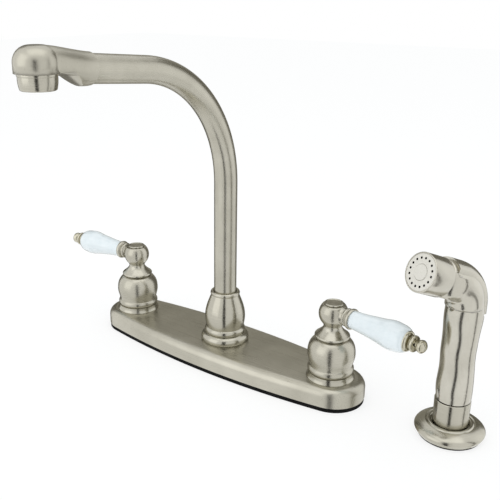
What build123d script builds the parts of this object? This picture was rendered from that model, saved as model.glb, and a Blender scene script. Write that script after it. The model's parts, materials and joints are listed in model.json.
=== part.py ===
"""Two-handle kitchen faucet on an 8 inch base plate, with a high swivel spout and a side sprayer.

Frame: the origin is the centre of the base on the top of the sink deck, +X to the user's right,
-Y towards the user (the way the spout points at rest), +Z up. Everything is in millimetres.
"""

import os
from math import cos, hypot, pi, radians, sin, sqrt, tan

from build123d import *

os.makedirs("parts", exist_ok=True)

# ---------------------------------------------------------------- driving dimensions
# clearances
RUNNING_GAP = 0.08        # a shaft turning or sliding in its own hole
SEAT_GAP = 0.2            # flat running faces of pieces that move apart
FREE_GAP = 0.4            # curved faces of pieces that pass each other
STATIC_GAP = 0.1          # a fixed piece dropped into its hole

# deck and base plate
handle_spacing = 203.2    # 8 inch centres, the standard three-hole kitchen deck
plate_length = 257.4
plate_width = 66.0
plate_end_radius = 24.6
plate_height = 17.3       # top face above the deck, gasket included
plate_wall = 2.4
plate_edge_radius = 6.2
gasket_thickness = 2.0
gasket_inset = 0.4
gasket_rim_height = 3.4    # the rim that shows as a black line under the plate
gasket_rim_width = 6.0
gasket_hole_margin = 1.5

# connections under the deck
inlet_thread_radius = 10.48   # 1/2 inch IPS male thread
inlet_bore_radius = 6.8
inlet_length = 55.0           # reach below the deck
deck_thickness = 12.0         # the sink ledge that the lock nuts clamp
washer_thickness = 2.0
washer_radius = 20.0
lock_nut_height = 7.0
lock_nut_flats = 33.0
outlet_thread_radius = 6.6    # 1/4 inch male nipple for the sprayer hose
outlet_bore_radius = 3.6
outlet_length = 38.0
outlet_thread_length = 16.0
outlet_socket_step = 0.6
shank_chamfer = 0.8
relief_width = 1.2
relief_depth = 0.6

# waterway casting under the plate
casting_floor = gasket_thickness + 0.6
valve_body_radius = 14.0
valve_neck_radius = 11.5
valve_bore_radius = 9.3
valve_neck_top = 30.0
inlet_socket_depth = 2.6
inlet_port_radius = 5.0
valve_floor = 9.5
cross_tube_radius = 5.9
cross_tube_height = 6.4    # above the casting's floor
cross_bore_radius = 3.5
post_radius = 13.0
post_bore_radius = 8.6
post_floor = 12.0
post_top = 31.0
diverter_bore_radius = 7.0
diverter_seat_height = 2.2
diverter_port_radius = 1.2
diverter_port_circle = 4.6
diverter_stem_radius = 2.0
diverter_head_height = 1.6
diverter_lift = 2.5

# cartridge and its ceramic discs
seat_seal_height = 1.5
seat_seal_radius = 8.4
disc_radius = 8.0
disc_thickness = 2.4
disc_port_radius = 2.4
disc_port_offset = 4.3
cartridge_wall_gap = 0.15
cartridge_cavity_radius = 8.3
cartridge_cavity_top = 20.0
cartridge_hex_flats = 22.0
cartridge_hex_top = 35.6
cartridge_neck_radius = 7.6
cartridge_top = 47.4
stem_radius = 4.0
stem_foot_radius = 7.4
stem_top = 66.0
plate_nut_flats = 25.0
plate_nut_height = 4.8

# bell-shaped escutcheons
base_ring_radius = 18.3
base_ring_shoulder = 17.4
base_ring_height = 4.6
base_ring_bore = 14.9
bell_foot_radius = 16.3
bell_bead_radius = 17.4
bell_bead_height = 24.0
bell_waist_radius = 16.3
bell_waist_height = 27.2
bell_belly_radius = 18.0
bell_belly_height = 36.6
bell_shoulder_radius = 16.3
bell_shoulder_height = 44.8
bell_mouth_radius = 12.4
bell_top = 48.9
bell_wall = 1.8

# lever handles
lever_height = 69.5
left_lever_turn = 3.5     # degrees that the closed left lever points in front of straight out
right_lever_turn = 9.0
hub_bottom = bell_top + 0.4
hub_collar_radius = 13.2
hub_collar_height = 51.1
hub_neck_radius = 6.9
hub_neck_height = 58.8
hub_cone_radius = 8.9       # the cone between collar and neck, half way up
hub_cone_height = 55.3
hub_ball_foot_radius = 8.2   # where the neck runs into the ball
hub_ball_radius = 10.95
hub_ball_height = 68.8
hub_ball_top = 75.8
boss_radius = 6.1
boss_reach = 11.4
screw_head_radius = 4.2
screw_head_height = 2.8
screw_web_top = 70.0
screw_thread_radius = 2.0
screw_length = 13.0
screw_slot_width = 1.2
screw_slot_depth = 1.2
cap_radius = 7.1
cap_thickness = 1.6
cap_rim = 0.8
cap_dish_depth = 0.45
cap_plug_radius = 5.2
cap_plug_depth = 2.2
ferrule_length = 6.8
ferrule_small_radius = 6.9
ferrule_large_radius = 7.8
ferrule_cup_depth = 0.9
ferrule_cup_radius = 6.9
rod_radius = 2.3
rod_hole_radius = 2.6
rod_depth = 5.0             # how far the rod screws into the hub's boss
porcelain_foot_radius = 6.6
porcelain_belly_radius = 10.4
porcelain_belly_reach = 54.0
porcelain_end_radius = 7.3
porcelain_end = 63.8
finial_cap_radius = 7.5
finial_cap_length = 2.2
finial_ring_radius = 5.9
finial_ring_reach = 69.0
finial_ring_width = 2.4
finial_neck_radius = 2.9
finial_knob_radius = 4.7
finial_knob_start = 71.8
finial_knob_end = 78.4

# spout
tube_radius = 9.15
tube_wall = 1.3
bend_height = 151.0
bend_radius = 93.0
arm_rise = 4.7            # degrees that the arm climbs towards its nose
nose_joint_reach = 134.0
outlet_reach = 171.3
spout_foot_radius = 8.2
spout_foot_bottom = 14.0
foot_flange_radius = 11.2
foot_flange_height = 3.2
foot_spigot_height = 44.0
glide_ring_height = 2.2
oring_thickness = 2.0
oring_groove_depth = 1.2
flange_radius = 19.8
flange_top = 24.3
nut_bead_radius = 16.7
nut_bead_height = 5.0
nut_waist_radius = 15.4
nut_belly_radius = 16.6
nut_belly_height = 38.0
nut_shoulder_radius = 11.4
nut_shoulder_height = 57.3
nut_lip_radius = 12.1
nut_top = 60.3

# cast nose of the spout and its aerator
nose_socket_radius = 10.0
nose_socket_swell = 0.4
nose_socket_depth = 7.0
nose_head_radius = 13.3
nose_underside = 247.7
nose_crown = 263.3
nose_crown_round = 9.9
nose_neck_half_width = 11.7
nose_neck_top = 261.8
neck_cut_depth = 6.4
facet_foot_reach = 142.8      # the slanted cut under the socket starts here
facet_slope = 1.08            # its reach grows by this much for each millimetre of height
duct_radius = 3.4
duct_end_height = 257.5
chamber_radius = 7.75
chamber_height = 9.0
aerator_radius = 11.7
aerator_bottom = 238.1
aerator_wall = 1.7
aerator_thread_radius = 10.2
aerator_thread_height = 5.0
aerator_washer_thickness = 1.4
aerator_washer_bore = 7.6
jet_circle = 5.2
jet_radius = 1.0
middle_jet_radius = 1.4

# sprayer holder
sprayer_x = 193.2
sprayer_y = 9.0
sprayer_heading = 25.0    # degrees that the head is turned from the front towards the faucet
holder_radius = 24.1
holder_foot_radius = 22.2
holder_top = 10.2
holder_bead_radius = 14.6
holder_mouth_radius = 12.9
holder_seat = 5.6
holder_bore_radius = 10.4
holder_shank_radius = 13.0
holder_shank_length = 42.0
holder_gasket_thickness = 1.2
holder_nut_radius = 17.0
holder_nut_height = 8.0
holder_nut_bottom = -deck_thickness - holder_nut_height
wing_length = 9.0
wing_width = 3.2
wing_height = 6.5

# sprayer handset
sleeve_radius = 12.1
sleeve_top = 27.5
nose_plug_radius = 9.9
nose_plug_bottom = -6.0
handset_groove = 0.7
hose_thread_radius = 6.6
grip_radius = 12.3
grip_bore_radius = 6.0
wave_depth = 0.8
wave_pitch = 26.0
first_wave_crest = 37.5
waist_depth = 1.1          # the grip is slimmer here between the palm's swell and the heel
waist_start = 37.0
waist_length = 48.0
heel_radius = 14.0
heel_start = 76.0
head_tilt = 21.0          # degrees that the spray face looks up
face_reach = 40.8
face_height = 127.8
elbow_radius = 18.0
head_ring_length = 17.5
head_ring_radius = 13.1
head_ring_wall = 1.3
head_spigot_length = 8.0
face_radius = 12.1
face_thickness = 2.4
face_setback = 0.2         # the plate sits this much inside the ring's rim
face_hole_count = 16
face_hole_circle = 9.3
face_hole_radius = 0.75
button_radius = 5.2
button_height = 1.0
button_recess = 0.5
button_stem_radius = 2.0
spider_width = 2.6
spider_height = 3.0
spider_hub_radius = 3.4

# trigger
trigger_radius = 14.3
trigger_wall = 2.0
trigger_half_width = 10.2
trigger_skirt_edge = 6.0
trigger_bottom = 93.2
trigger_stroke = 4.0      # degrees
slot_core_radius = 8.0
slot_bottom = 90.2
pivot_depth = 4.5
pivot_setback = 6.0
pivot_pin_radius = 1.2
pivot_ear_radius = 2.7
slot_floor = pivot_depth - pivot_ear_radius - FREE_GAP
plunger_height = 96.8
plunger_radius = 1.9
plunger_disc_radius = 3.2
plunger_disc_thickness = 1.5
plunger_tail = 3.0

# values that several pieces share
nose_neck_reach = outlet_reach - nose_head_radius
half_spacing = handle_spacing / 2
plate_top = plate_height
ceiling = plate_top - plate_wall


# ---------------------------------------------------------------- small helpers
def disc(radius, bottom, top):
    """A solid round on the Z axis."""
    return Pos(0, 0, bottom) * extrude(Circle(radius), top - bottom)


def ring(radius, bore, bottom, top):
    """A round with a hole through it."""
    return Pos(0, 0, bottom) * extrude(Circle(radius) - Circle(bore), top - bottom)


def hexagon(flats, bore, bottom, top):
    """A hexagonal nut, measured across its flats."""
    outline = RegularPolygon(flats / 2, 6, major_radius=False)
    return Pos(0, 0, bottom) * extrude(outline - Circle(bore), top - bottom)


def turned(*edges):
    """Turns a closed half outline, drawn as (radius, height), about the Z axis."""
    return revolve(Plane.XZ * make_face(Wire(list(edges)) if len(edges) > 1 else edges[0]), Axis.Z)


def steps(*points):
    """Straight edges through the points."""
    return Polyline(*points).edges()


def save(name, shape):
    """Writes one sub-part."""
    export_step(shape, f"parts/{name}.step")


# ---------------------------------------------------------------- base plate and gasket
def base_outline(inset):
    """The plate's plan: two long bowed sides running into round ends, all moved in by inset."""
    end_x = plate_length / 2 - plate_end_radius
    end_r = plate_end_radius - inset
    half_width = plate_width / 2 - inset
    bow = (end_x**2 + half_width**2 - end_r**2) / (2 * (half_width - end_r))
    bow_y = bow - half_width
    reach = hypot(end_x, bow_y)
    tangent_x = end_x + end_r * end_x / reach
    tangent_y = end_r * bow_y / reach
    tip = end_x + end_r
    front = ThreePointArc((-tangent_x, -tangent_y), (0, -half_width), (tangent_x, -tangent_y))
    right = ThreePointArc((tangent_x, -tangent_y), (tip, 0), (tangent_x, tangent_y))
    back = ThreePointArc((tangent_x, tangent_y), (0, half_width), (-tangent_x, tangent_y))
    left = ThreePointArc((-tangent_x, tangent_y), (-tip, 0), (-tangent_x, -tangent_y))
    return make_face(front + right + back + left)


def rounded_block(inset, bottom, top, edge_radius):
    """The plate's outline raised to a block with a rounded upper edge."""
    block = Pos(0, 0, bottom) * extrude(base_outline(inset), top - bottom)
    return fillet(block.faces().sort_by(Axis.Z)[-1].edges(), edge_radius)


def deck_plate():
    """The hollow cover plate: open below, with three holes in its top."""
    shell = rounded_block(0, gasket_rim_height, plate_top, plate_edge_radius)
    inner_round = plate_edge_radius - plate_wall
    shell -= rounded_block(plate_wall, gasket_thickness - 1, ceiling, inner_round)
    necks = ((-half_spacing, valve_neck_radius), (0, post_radius), (half_spacing, valve_neck_radius))
    for x, radius in necks:
        shell -= Pos(x, 0, 0) * disc(radius + STATIC_GAP, ceiling - 1, plate_top + 1)
    return shell


def deck_gasket():
    """The black foam gasket between plate and deck: a sheet with a raised rim that carries the plate."""
    sheet = extrude(base_outline(gasket_inset), gasket_rim_height)
    inner = extrude(base_outline(gasket_inset + gasket_rim_width), gasket_rim_height)
    sheet -= Pos(0, 0, gasket_thickness) * inner
    for x, radius in (
        (-half_spacing, inlet_thread_radius),
        (0, outlet_thread_radius),
        (half_spacing, inlet_thread_radius),
    ):
        sheet -= Pos(x, 0, 0) * disc(radius + gasket_hole_margin, -1, gasket_thickness + 1)
    return sheet


# ---------------------------------------------------------------- waterway and connections
inlet_top = casting_floor + inlet_socket_depth
lock_nut_top = -deck_thickness - washer_thickness
lock_nut_bottom = lock_nut_top - lock_nut_height


def waterway_body():
    """One casting: two valve bodies, the spout post between them and the tube that joins them."""
    across = Rot(0, 90, 0) * Cylinder(cross_tube_radius, handle_spacing)
    body = Pos(0, 0, casting_floor + cross_tube_height) * across
    body += disc(post_radius, casting_floor, post_top)
    for side in (-1, 1):
        x = side * half_spacing
        body += Pos(x, 0, 0) * disc(valve_body_radius, casting_floor, ceiling)
        body += Pos(x, 0, 0) * disc(valve_neck_radius, ceiling, valve_neck_top)
    for side in (-1, 1):
        x = side * half_spacing
        body -= Pos(x, 0, 0) * disc(inlet_thread_radius, casting_floor, inlet_top)
        body -= Pos(x, 0, 0) * disc(inlet_port_radius, inlet_top, valve_floor)
        body -= Pos(x, 0, 0) * disc(valve_bore_radius, valve_floor, valve_neck_top)
    passage_length = 2 * (half_spacing - valve_bore_radius + 0.5)
    passage = Rot(0, 90, 0) * Cylinder(cross_bore_radius, passage_length)
    body -= Pos(0, 0, casting_floor + cross_tube_height + 0.3) * passage
    body -= disc(outlet_thread_radius, casting_floor, inlet_top - outlet_socket_step)
    body -= disc(diverter_bore_radius, inlet_top, post_floor)
    body -= disc(outlet_bore_radius, casting_floor, inlet_top)
    body -= disc(post_bore_radius, post_floor, post_top)
    return body


def threaded_shank(radius, bore, bottom, relief_top, top):
    """A hollow shank with a chamfered foot and a relief groove above its free thread."""
    shank = ring(radius, bore, bottom, top)
    rim = shank.faces().sort_by(Axis.Z)[0].edges().sort_by(SortBy.RADIUS)[-1]
    shank = chamfer(rim, shank_chamfer)
    return shank - ring(radius + 1, radius - relief_depth, relief_top - relief_width, relief_top)


def inlet_shank(side):
    """A supply shank; its lower end takes the coupling nut of a 1/2 inch supply line."""
    relief_top = lock_nut_bottom - 1
    shank = threaded_shank(inlet_thread_radius, inlet_bore_radius, -inlet_length, relief_top, inlet_top)
    return Pos(side * half_spacing, 0, 0) * shank


def sprayer_outlet():
    """The nipple under the middle of the base that feeds the sprayer's hose."""
    relief_top = -outlet_length + outlet_thread_length + relief_width
    top = inlet_top - outlet_socket_step
    return threaded_shank(outlet_thread_radius, outlet_bore_radius, -outlet_length, relief_top, top)


def at_both_handles(piece):
    """Two copies of a piece, one on each handle's axis."""
    return Compound([Pos(side * half_spacing, 0, 0) * piece for side in (-1, 1)])


def deck_washers():
    """Washers under the deck."""
    bore = inlet_thread_radius + STATIC_GAP
    return at_both_handles(ring(washer_radius, bore, -deck_thickness - washer_thickness, -deck_thickness))


def deck_lock_nuts():
    """Lock nuts on the shanks, tight against the washers."""
    return at_both_handles(hexagon(lock_nut_flats, inlet_thread_radius, lock_nut_bottom, lock_nut_top))


diverter_seat_top = inlet_top + diverter_seat_height


def diverter_seat():
    """The seat pressed into the post: it guides the diverter's stem and lets water round it."""
    seat = ring(diverter_bore_radius, diverter_stem_radius + RUNNING_GAP, inlet_top, diverter_seat_top)
    for hole in PolarLocations(diverter_port_circle, 6):
        seat -= hole * disc(diverter_port_radius, inlet_top, diverter_seat_top)
    return seat


def diverter_plunger():
    """The plunger that lifts when the sprayer is opened and sends the water to its hose."""
    head_bottom = diverter_seat_top + SEAT_GAP
    stem = disc(diverter_stem_radius, inlet_top - 1.0, head_bottom)
    head_top = head_bottom + diverter_head_height
    head = disc(diverter_bore_radius - FREE_GAP, head_bottom, head_top)
    return stem + head + disc(1.5, head_top, head_top + 1.4)


# ---------------------------------------------------------------- valves
seal_top = valve_floor + seat_seal_height
fixed_disc_top = seal_top + disc_thickness
moving_disc_bottom = fixed_disc_top + 0.05
moving_disc_top = moving_disc_bottom + disc_thickness
stem_foot_bottom = moving_disc_top + 0.05
stem_foot_top = cartridge_cavity_top - SEAT_GAP
hex_bottom = valve_neck_top + 0.05


def seat_seals():
    """Rubber rings between the casting's floor and the fixed discs."""
    return at_both_handles(ring(seat_seal_radius, inlet_port_radius, valve_floor, seal_top))


def ported_disc(bottom, top):
    """A ceramic disc with two round ports."""
    plate = disc(disc_radius, bottom, top)
    for hole in PolarLocations(disc_port_offset, 2):
        plate -= hole * disc(disc_port_radius, bottom, top)
    return plate


def fixed_discs():
    """The lower ceramic discs, held in the cartridges."""
    return at_both_handles(ported_disc(seal_top, fixed_disc_top))


def moving_disc(side):
    """The upper ceramic disc, a quarter turn from its open position."""
    turned_disc = Rot(0, 0, 90) * ported_disc(moving_disc_bottom, moving_disc_top)
    return Pos(side * half_spacing, 0, 0) * turned_disc


def cartridge(side):
    """The brass cartridge: a cup over the discs, a hexagon on the neck and a threaded collar above it."""
    outer = valve_bore_radius - cartridge_wall_gap
    body = disc(outer, seal_top, hex_bottom)
    body += hexagon(cartridge_hex_flats, stem_radius, hex_bottom, cartridge_hex_top)
    body += disc(cartridge_neck_radius, cartridge_hex_top, cartridge_top)
    body -= disc(cartridge_cavity_radius, seal_top, cartridge_cavity_top)
    body -= disc(stem_radius + RUNNING_GAP, cartridge_cavity_top, cartridge_top)
    window_height = stem_foot_top - moving_disc_top - 1
    window = Box(3 * outer, 6.0, window_height)
    body -= Pos(0, 0, (stem_foot_top + moving_disc_top) / 2) * window
    return Pos(side * half_spacing, 0, 0) * body


def valve_stem(side):
    """The stem: a foot that drives the moving disc and a flatted top that the handle fits."""
    stem = disc(stem_foot_radius, stem_foot_bottom, stem_foot_top)
    stem += disc(stem_radius, stem_foot_top, stem_top)
    flat = Box(4 * stem_radius, stem_radius, 10)
    flat_y = stem_radius * 0.75 + stem_radius / 2
    for sign in (-1, 1):
        stem -= Pos(0, sign * flat_y, stem_top - 5) * flat
    stem -= disc(screw_thread_radius, screw_web_top - screw_length, stem_top)
    return Pos(side * half_spacing, 0, 0) * stem


def plate_nuts():
    """Thin nuts that hold the plate down on the valve necks, hidden in the bells."""
    nut = hexagon(plate_nut_flats, valve_neck_radius, plate_top, plate_top + plate_nut_height)
    return at_both_handles(nut)


# ---------------------------------------------------------------- bells
base_ring_top = plate_top + base_ring_height


def base_ring(side):
    """The flared ring that the bell stands on."""
    flare = ThreePointArc(
        (base_ring_radius, plate_top + 0.6),
        (base_ring_shoulder + 0.15, plate_top + 2.3),
        (base_ring_shoulder, base_ring_top),
    )
    rest = steps(
        (base_ring_shoulder, base_ring_top),
        (base_ring_bore, base_ring_top),
        (base_ring_bore, plate_top),
        (base_ring_radius, plate_top),
        (base_ring_radius, plate_top + 0.6),
    )
    return Pos(side * half_spacing, 0, 0) * turned(flare, *rest)


def bell(side):
    """The bell-shaped escutcheon, hollow, screwed on the cartridge's collar."""
    foot = base_ring_top
    bead = ThreePointArc(
        (bell_foot_radius + 0.6, foot + 0.9),
        (bell_bead_radius, bell_bead_height),
        (bell_waist_radius, bell_waist_height),
    )
    belly = Spline(
        (bell_waist_radius, bell_waist_height),
        (bell_belly_radius, bell_belly_height),
        (bell_shoulder_radius, bell_shoulder_height),
        (bell_mouth_radius, bell_top),
        tangents=[(0.05, 1), (-1, 0.45)],
    )
    hole = cartridge_neck_radius
    inside = Spline(
        (hole, bell_top - 1.9),
        (bell_shoulder_radius - 2.0, bell_shoulder_height - 1.2),
        (bell_belly_radius - bell_wall, bell_belly_height),
        (bell_waist_radius - bell_wall, bell_waist_height),
        tangents=[(1, -0.3), (-0.05, -1)],
    )
    crown = steps((bell_mouth_radius, bell_top), (hole, bell_top), (hole, bell_top - 1.9))
    skirt = steps(
        (bell_waist_radius - bell_wall, bell_waist_height),
        (bell_waist_radius - bell_wall, foot),
        (bell_foot_radius, foot),
        (bell_foot_radius + 0.6, foot + 0.9),
    )
    return Pos(side * half_spacing, 0, 0) * turned(bead, belly, *crown, inside, *skirt)


# ---------------------------------------------------------------- lever handles
def lever_plane(side):
    """The plane whose Z axis runs out along a lever."""
    turn = radians(left_lever_turn if side < 0 else right_lever_turn)
    out = (side * cos(turn), -sin(turn), 0)
    return Plane(origin=(side * half_spacing, 0, lever_height), x_dir=(0, 0, 1), z_dir=out)


def handle_hub(side):
    """The turned hub: collar, neck and ball, with a boss for the lever."""
    low = hub_ball_height - sqrt(hub_ball_radius**2 - hub_ball_foot_radius**2)
    top_radius = sqrt(hub_ball_radius**2 - (hub_ball_top - hub_ball_height) ** 2)
    rim = hub_collar_radius - 0.7
    collar = ThreePointArc(
        (rim, hub_collar_height - 1.0),
        (hub_collar_radius, hub_collar_height),
        (rim, hub_collar_height + 1.1),
    )
    flare = Spline(
        (rim, hub_collar_height + 1.1),
        (hub_cone_radius, hub_cone_height),
        (hub_neck_radius, hub_neck_height),
        (hub_ball_foot_radius, low),
        tangents=[(-0.78, 0.62), (0.67, 0.75)],
    )
    ball_side = (hub_ball_radius, hub_ball_height)
    ball = ThreePointArc((hub_ball_foot_radius, low), ball_side, (top_radius, hub_ball_top))
    core = steps(
        (top_radius, hub_ball_top),
        (0, hub_ball_top),
        (0, hub_bottom),
        (rim - 0.5, hub_bottom),
        (rim - 0.5, hub_collar_height - 1.0),
        (rim, hub_collar_height - 1.0),
    )
    hub = Pos(side * half_spacing, 0, 0) * turned(collar, flare, ball, *core)
    along = lever_plane(side)
    hub += along * disc(boss_radius, hub_ball_radius - 4, boss_reach)
    hub -= along * disc(rod_radius, boss_reach - rod_depth, boss_reach)
    holes = disc(stem_radius + 0.05, hub_bottom, stem_top)
    holes += disc(screw_thread_radius + STATIC_GAP, stem_top, screw_web_top)
    holes += disc(cap_plug_radius, screw_web_top, hub_ball_top)
    return hub - Pos(side * half_spacing, 0, 0) * holes


def handle_screw(side):
    """The screw that holds the hub down on the stem."""
    head_top = screw_web_top + screw_head_height
    screw = disc(screw_head_radius, screw_web_top, head_top)
    screw -= Pos(0, 0, head_top) * Box(3 * screw_head_radius, screw_slot_width, 2 * screw_slot_depth)
    screw += disc(screw_thread_radius, screw_web_top - screw_length, screw_web_top)
    return Pos(side * half_spacing, 0, 0) * screw


def index_cap(side):
    """The press-in cap on top of the hub, with a low rim round a shallow dish."""
    top = hub_ball_top + cap_thickness
    outline = steps(
        (0, top - cap_dish_depth),
        (cap_radius - cap_rim - 0.5, top - cap_dish_depth),
        (cap_radius - cap_rim, top),
        (cap_radius - 0.3, top),
        (cap_radius, top - 0.3),
        (cap_radius, hub_ball_top + 0.3),
        (cap_radius - 0.4, hub_ball_top),
        (cap_plug_radius, hub_ball_top),
        (cap_plug_radius, hub_ball_top - cap_plug_depth),
        (0, hub_ball_top - cap_plug_depth),
        (0, top - cap_dish_depth),
    )
    return Pos(side * half_spacing, 0, 0) * turned(*outline)


ferrule_end = boss_reach + ferrule_length
porcelain_start = ferrule_end - ferrule_cup_depth


def lever_ferrule(side):
    """The double ring between hub and porcelain."""
    groove = ferrule_small_radius - 0.8
    first = ThreePointArc(
        (groove, boss_reach), (ferrule_small_radius, boss_reach + 1.3), (groove, boss_reach + 2.6)
    )
    second = ThreePointArc(
        (groove, boss_reach + 3.2),
        (ferrule_large_radius, boss_reach + 4.9),
        (ferrule_cup_radius + 0.5, ferrule_end),
    )
    rest = steps(
        (ferrule_cup_radius + 0.5, ferrule_end),
        (ferrule_cup_radius, ferrule_end),
        (ferrule_cup_radius, porcelain_start),
        (rod_hole_radius, porcelain_start),
        (rod_hole_radius, boss_reach),
        (groove, boss_reach),
    )
    between = Line((groove, boss_reach + 2.6), (groove, boss_reach + 3.2))
    return lever_plane(side) * turned(first, between, second, *rest)


def porcelain_lever(side):
    """The glazed porcelain grip, thickest near its outer end."""
    start = porcelain_start
    body = Spline(
        (porcelain_foot_radius, start + 0.6),
        (porcelain_foot_radius + 0.55, start + 9),
        (porcelain_foot_radius + 2.3, start + 24),
        (porcelain_belly_radius, porcelain_belly_reach),
        (porcelain_end_radius, porcelain_end),
        tangents=[(0.05, 1), (-1, 0.7)],
    )
    rest = steps(
        (porcelain_end_radius, porcelain_end),
        (rod_hole_radius, porcelain_end),
        (rod_hole_radius, start),
        (porcelain_foot_radius - 0.5, start),
        (porcelain_foot_radius, start + 0.6),
    )
    return lever_plane(side) * turned(body, *rest)


def lever_finial(side):
    """The polished end cap, ring and knob, turned in one with the rod that ties the lever together."""
    cap_end = porcelain_end + finial_cap_length
    ring_low = finial_ring_reach - finial_ring_width / 2
    ring_high = finial_ring_reach + finial_ring_width / 2
    knob_middle = (finial_knob_start + finial_knob_end) / 2
    cove_radius = finial_cap_radius - 2.2
    cove_end = finial_neck_radius + 0.6
    bead_edge = finial_ring_radius - 0.4
    cap = ThreePointArc(
        (finial_cap_radius, porcelain_end),
        (finial_cap_radius - 0.4, porcelain_end + 1.2),
        (cove_radius, cap_end),
    )
    cove = ThreePointArc((cove_radius, cap_end), (cove_end - 0.1, cap_end + 0.9), (cove_end, ring_low))
    bead_side = (finial_ring_radius, finial_ring_reach)
    bead = ThreePointArc((bead_edge, ring_low), bead_side, (bead_edge, ring_high))
    knob = Spline(
        (finial_neck_radius, finial_knob_start),
        (finial_knob_radius, knob_middle),
        (0, finial_knob_end),
        tangents=[(1, 0.25), (-1, 0)],
    )
    rod_end = boss_reach - rod_depth + 0.4
    lines = (
        Line((cove_end, ring_low), (bead_edge, ring_low)),
        Line((bead_edge, ring_high), (finial_neck_radius, ring_high)),
        Line((finial_neck_radius, ring_high), (finial_neck_radius, finial_knob_start)),
    )
    rest = steps(
        (0, finial_knob_end),
        (0, rod_end),
        (rod_radius, rod_end),
        (rod_radius, porcelain_end),
        (finial_cap_radius, porcelain_end),
    )
    return lever_plane(side) * turned(cap, cove, lines[0], bead, lines[1], lines[2], knob, *rest)


# ---------------------------------------------------------------- spout
foot_flange_bottom = post_top + SEAT_GAP
foot_flange_top = foot_flange_bottom + foot_flange_height
tube_inner = tube_radius - tube_wall
oring_groove_radius = spout_foot_radius - oring_groove_depth
oring_heights = (spout_foot_bottom + 4, spout_foot_bottom + 10)
glide_top = foot_flange_top + glide_ring_height
arm_angle = 90 - arm_rise
bend_end_y = -bend_radius * (1 - cos(radians(arm_angle)))
bend_end_z = bend_height + bend_radius * sin(radians(arm_angle))


def arm_height(reach):
    """Height of the arm's centreline at a distance in front of the post."""
    return bend_end_z + (reach + bend_end_y) * tan(radians(arm_rise))


def spout_path(end_reach):
    """The tube's centreline: up from its foot, round the bend and out along the arm."""
    half = radians(arm_angle / 2)
    mid = (0, -bend_radius * (1 - cos(half)), bend_height + bend_radius * sin(half))
    bend_end = (0, bend_end_y, bend_end_z)
    rise = Line((0, 0, foot_flange_top), (0, 0, bend_height))
    bend = ThreePointArc((0, 0, bend_height), mid, bend_end)
    arm = Line(bend_end, (0, -end_reach, arm_height(end_reach)))
    return rise + bend + arm


def spout_tube():
    """The bent tube."""
    section = Pos(0, 0, foot_flange_top) * (Circle(tube_radius) - Circle(tube_inner))
    return sweep(section, path=spout_path(nose_joint_reach + nose_socket_depth - 1))


def spout_foot():
    """The foot soldered in the tube: a stub that turns in the post and a flange that the nut holds down."""
    foot = disc(spout_foot_radius, spout_foot_bottom, foot_flange_bottom)
    foot += disc(foot_flange_radius, foot_flange_bottom, foot_flange_top)
    foot += disc(tube_inner, foot_flange_top, foot_spigot_height)
    foot -= disc(tube_inner - 2, spout_foot_bottom, foot_spigot_height)
    for height in oring_heights:
        foot -= ring(spout_foot_radius + 1, oring_groove_radius, height, height + oring_thickness)
    return foot


def spout_o_rings():
    """Two rubber rings in the foot's grooves."""
    outer = post_bore_radius - 0.05
    return Compound([ring(outer, oring_groove_radius, z, z + oring_thickness) for z in oring_heights])


def glide_ring():
    """The nylon ring that the foot's flange turns against."""
    return ring(foot_flange_radius, tube_radius + FREE_GAP, foot_flange_top + SEAT_GAP, glide_top)


def spout_flange():
    """The round foot ring under the spout nut."""
    middle = (plate_top + flange_top) / 2
    bulge = ThreePointArc(
        (flange_radius - 0.9, plate_top),
        (flange_radius, middle - 0.6),
        (nut_bead_radius - 0.2, flange_top),
    )
    rest = steps(
        (nut_bead_radius - 0.2, flange_top),
        (post_radius + STATIC_GAP, flange_top),
        (post_radius + STATIC_GAP, plate_top),
        (flange_radius - 0.9, plate_top),
    )
    return turned(bulge, *rest)


def spout_nut():
    """The barrel-shaped nut that screws on the post and holds the spout down."""
    bottom = flange_top
    bead_top = bottom + nut_bead_height
    bead = ThreePointArc(
        (nut_bead_radius - 0.9, bottom),
        (nut_bead_radius, bottom + 2.0),
        (nut_waist_radius, bead_top),
    )
    barrel = Spline(
        (nut_waist_radius, bead_top),
        (nut_belly_radius, nut_belly_height),
        (nut_shoulder_radius, nut_shoulder_height),
        tangents=[(0.25, 1), (-0.42, 1)],
    )
    lip = ThreePointArc(
        (nut_shoulder_radius, nut_shoulder_height),
        (nut_lip_radius, (nut_shoulder_height + nut_top) / 2),
        (nut_lip_radius - 1.0, nut_top),
    )
    throat = tube_radius + RUNNING_GAP * 3
    inside = steps(
        (nut_lip_radius - 1.0, nut_top),
        (throat + 0.5, nut_top),
        (throat, nut_top - 0.6),
        (throat, glide_top),
        (foot_flange_radius + FREE_GAP, glide_top),
        (foot_flange_radius + FREE_GAP, post_top),
        (post_radius, post_top),
        (post_radius, bottom),
        (nut_bead_radius - 0.9, bottom),
    )
    return turned(bead, barrel, lip, *inside)


# ---------------------------------------------------------------- nose and aerator
arm_direction = (0, -cos(radians(arm_rise)), sin(radians(arm_rise)))
thread_bottom = nose_underside - aerator_thread_height


def arm_plane(reach):
    """A plane across the arm at a distance in front of the post."""
    return Plane(origin=(0, -reach, arm_height(reach)), x_dir=(1, 0, 0), z_dir=arm_direction)


def nose_head():
    """The round head over the outlet, with a domed crown."""
    block = disc(nose_head_radius, nose_underside, nose_crown)
    crown = block.faces().sort_by(Axis.Z)[-1].edges()
    return Pos(0, -outlet_reach, 0) * fillet(crown, nose_crown_round)


def neck_section(reach, half_width, top):
    """An upright rounded outline across the neck; its lower corners are cut off later."""
    height = top - nose_underside + neck_cut_depth
    plane = Plane(origin=(0, -reach, top - height / 2), x_dir=(1, 0, 0), z_dir=(0, -1, 0))
    return plane * RectangleRounded(2 * half_width, height, nose_crown_round)


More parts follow.
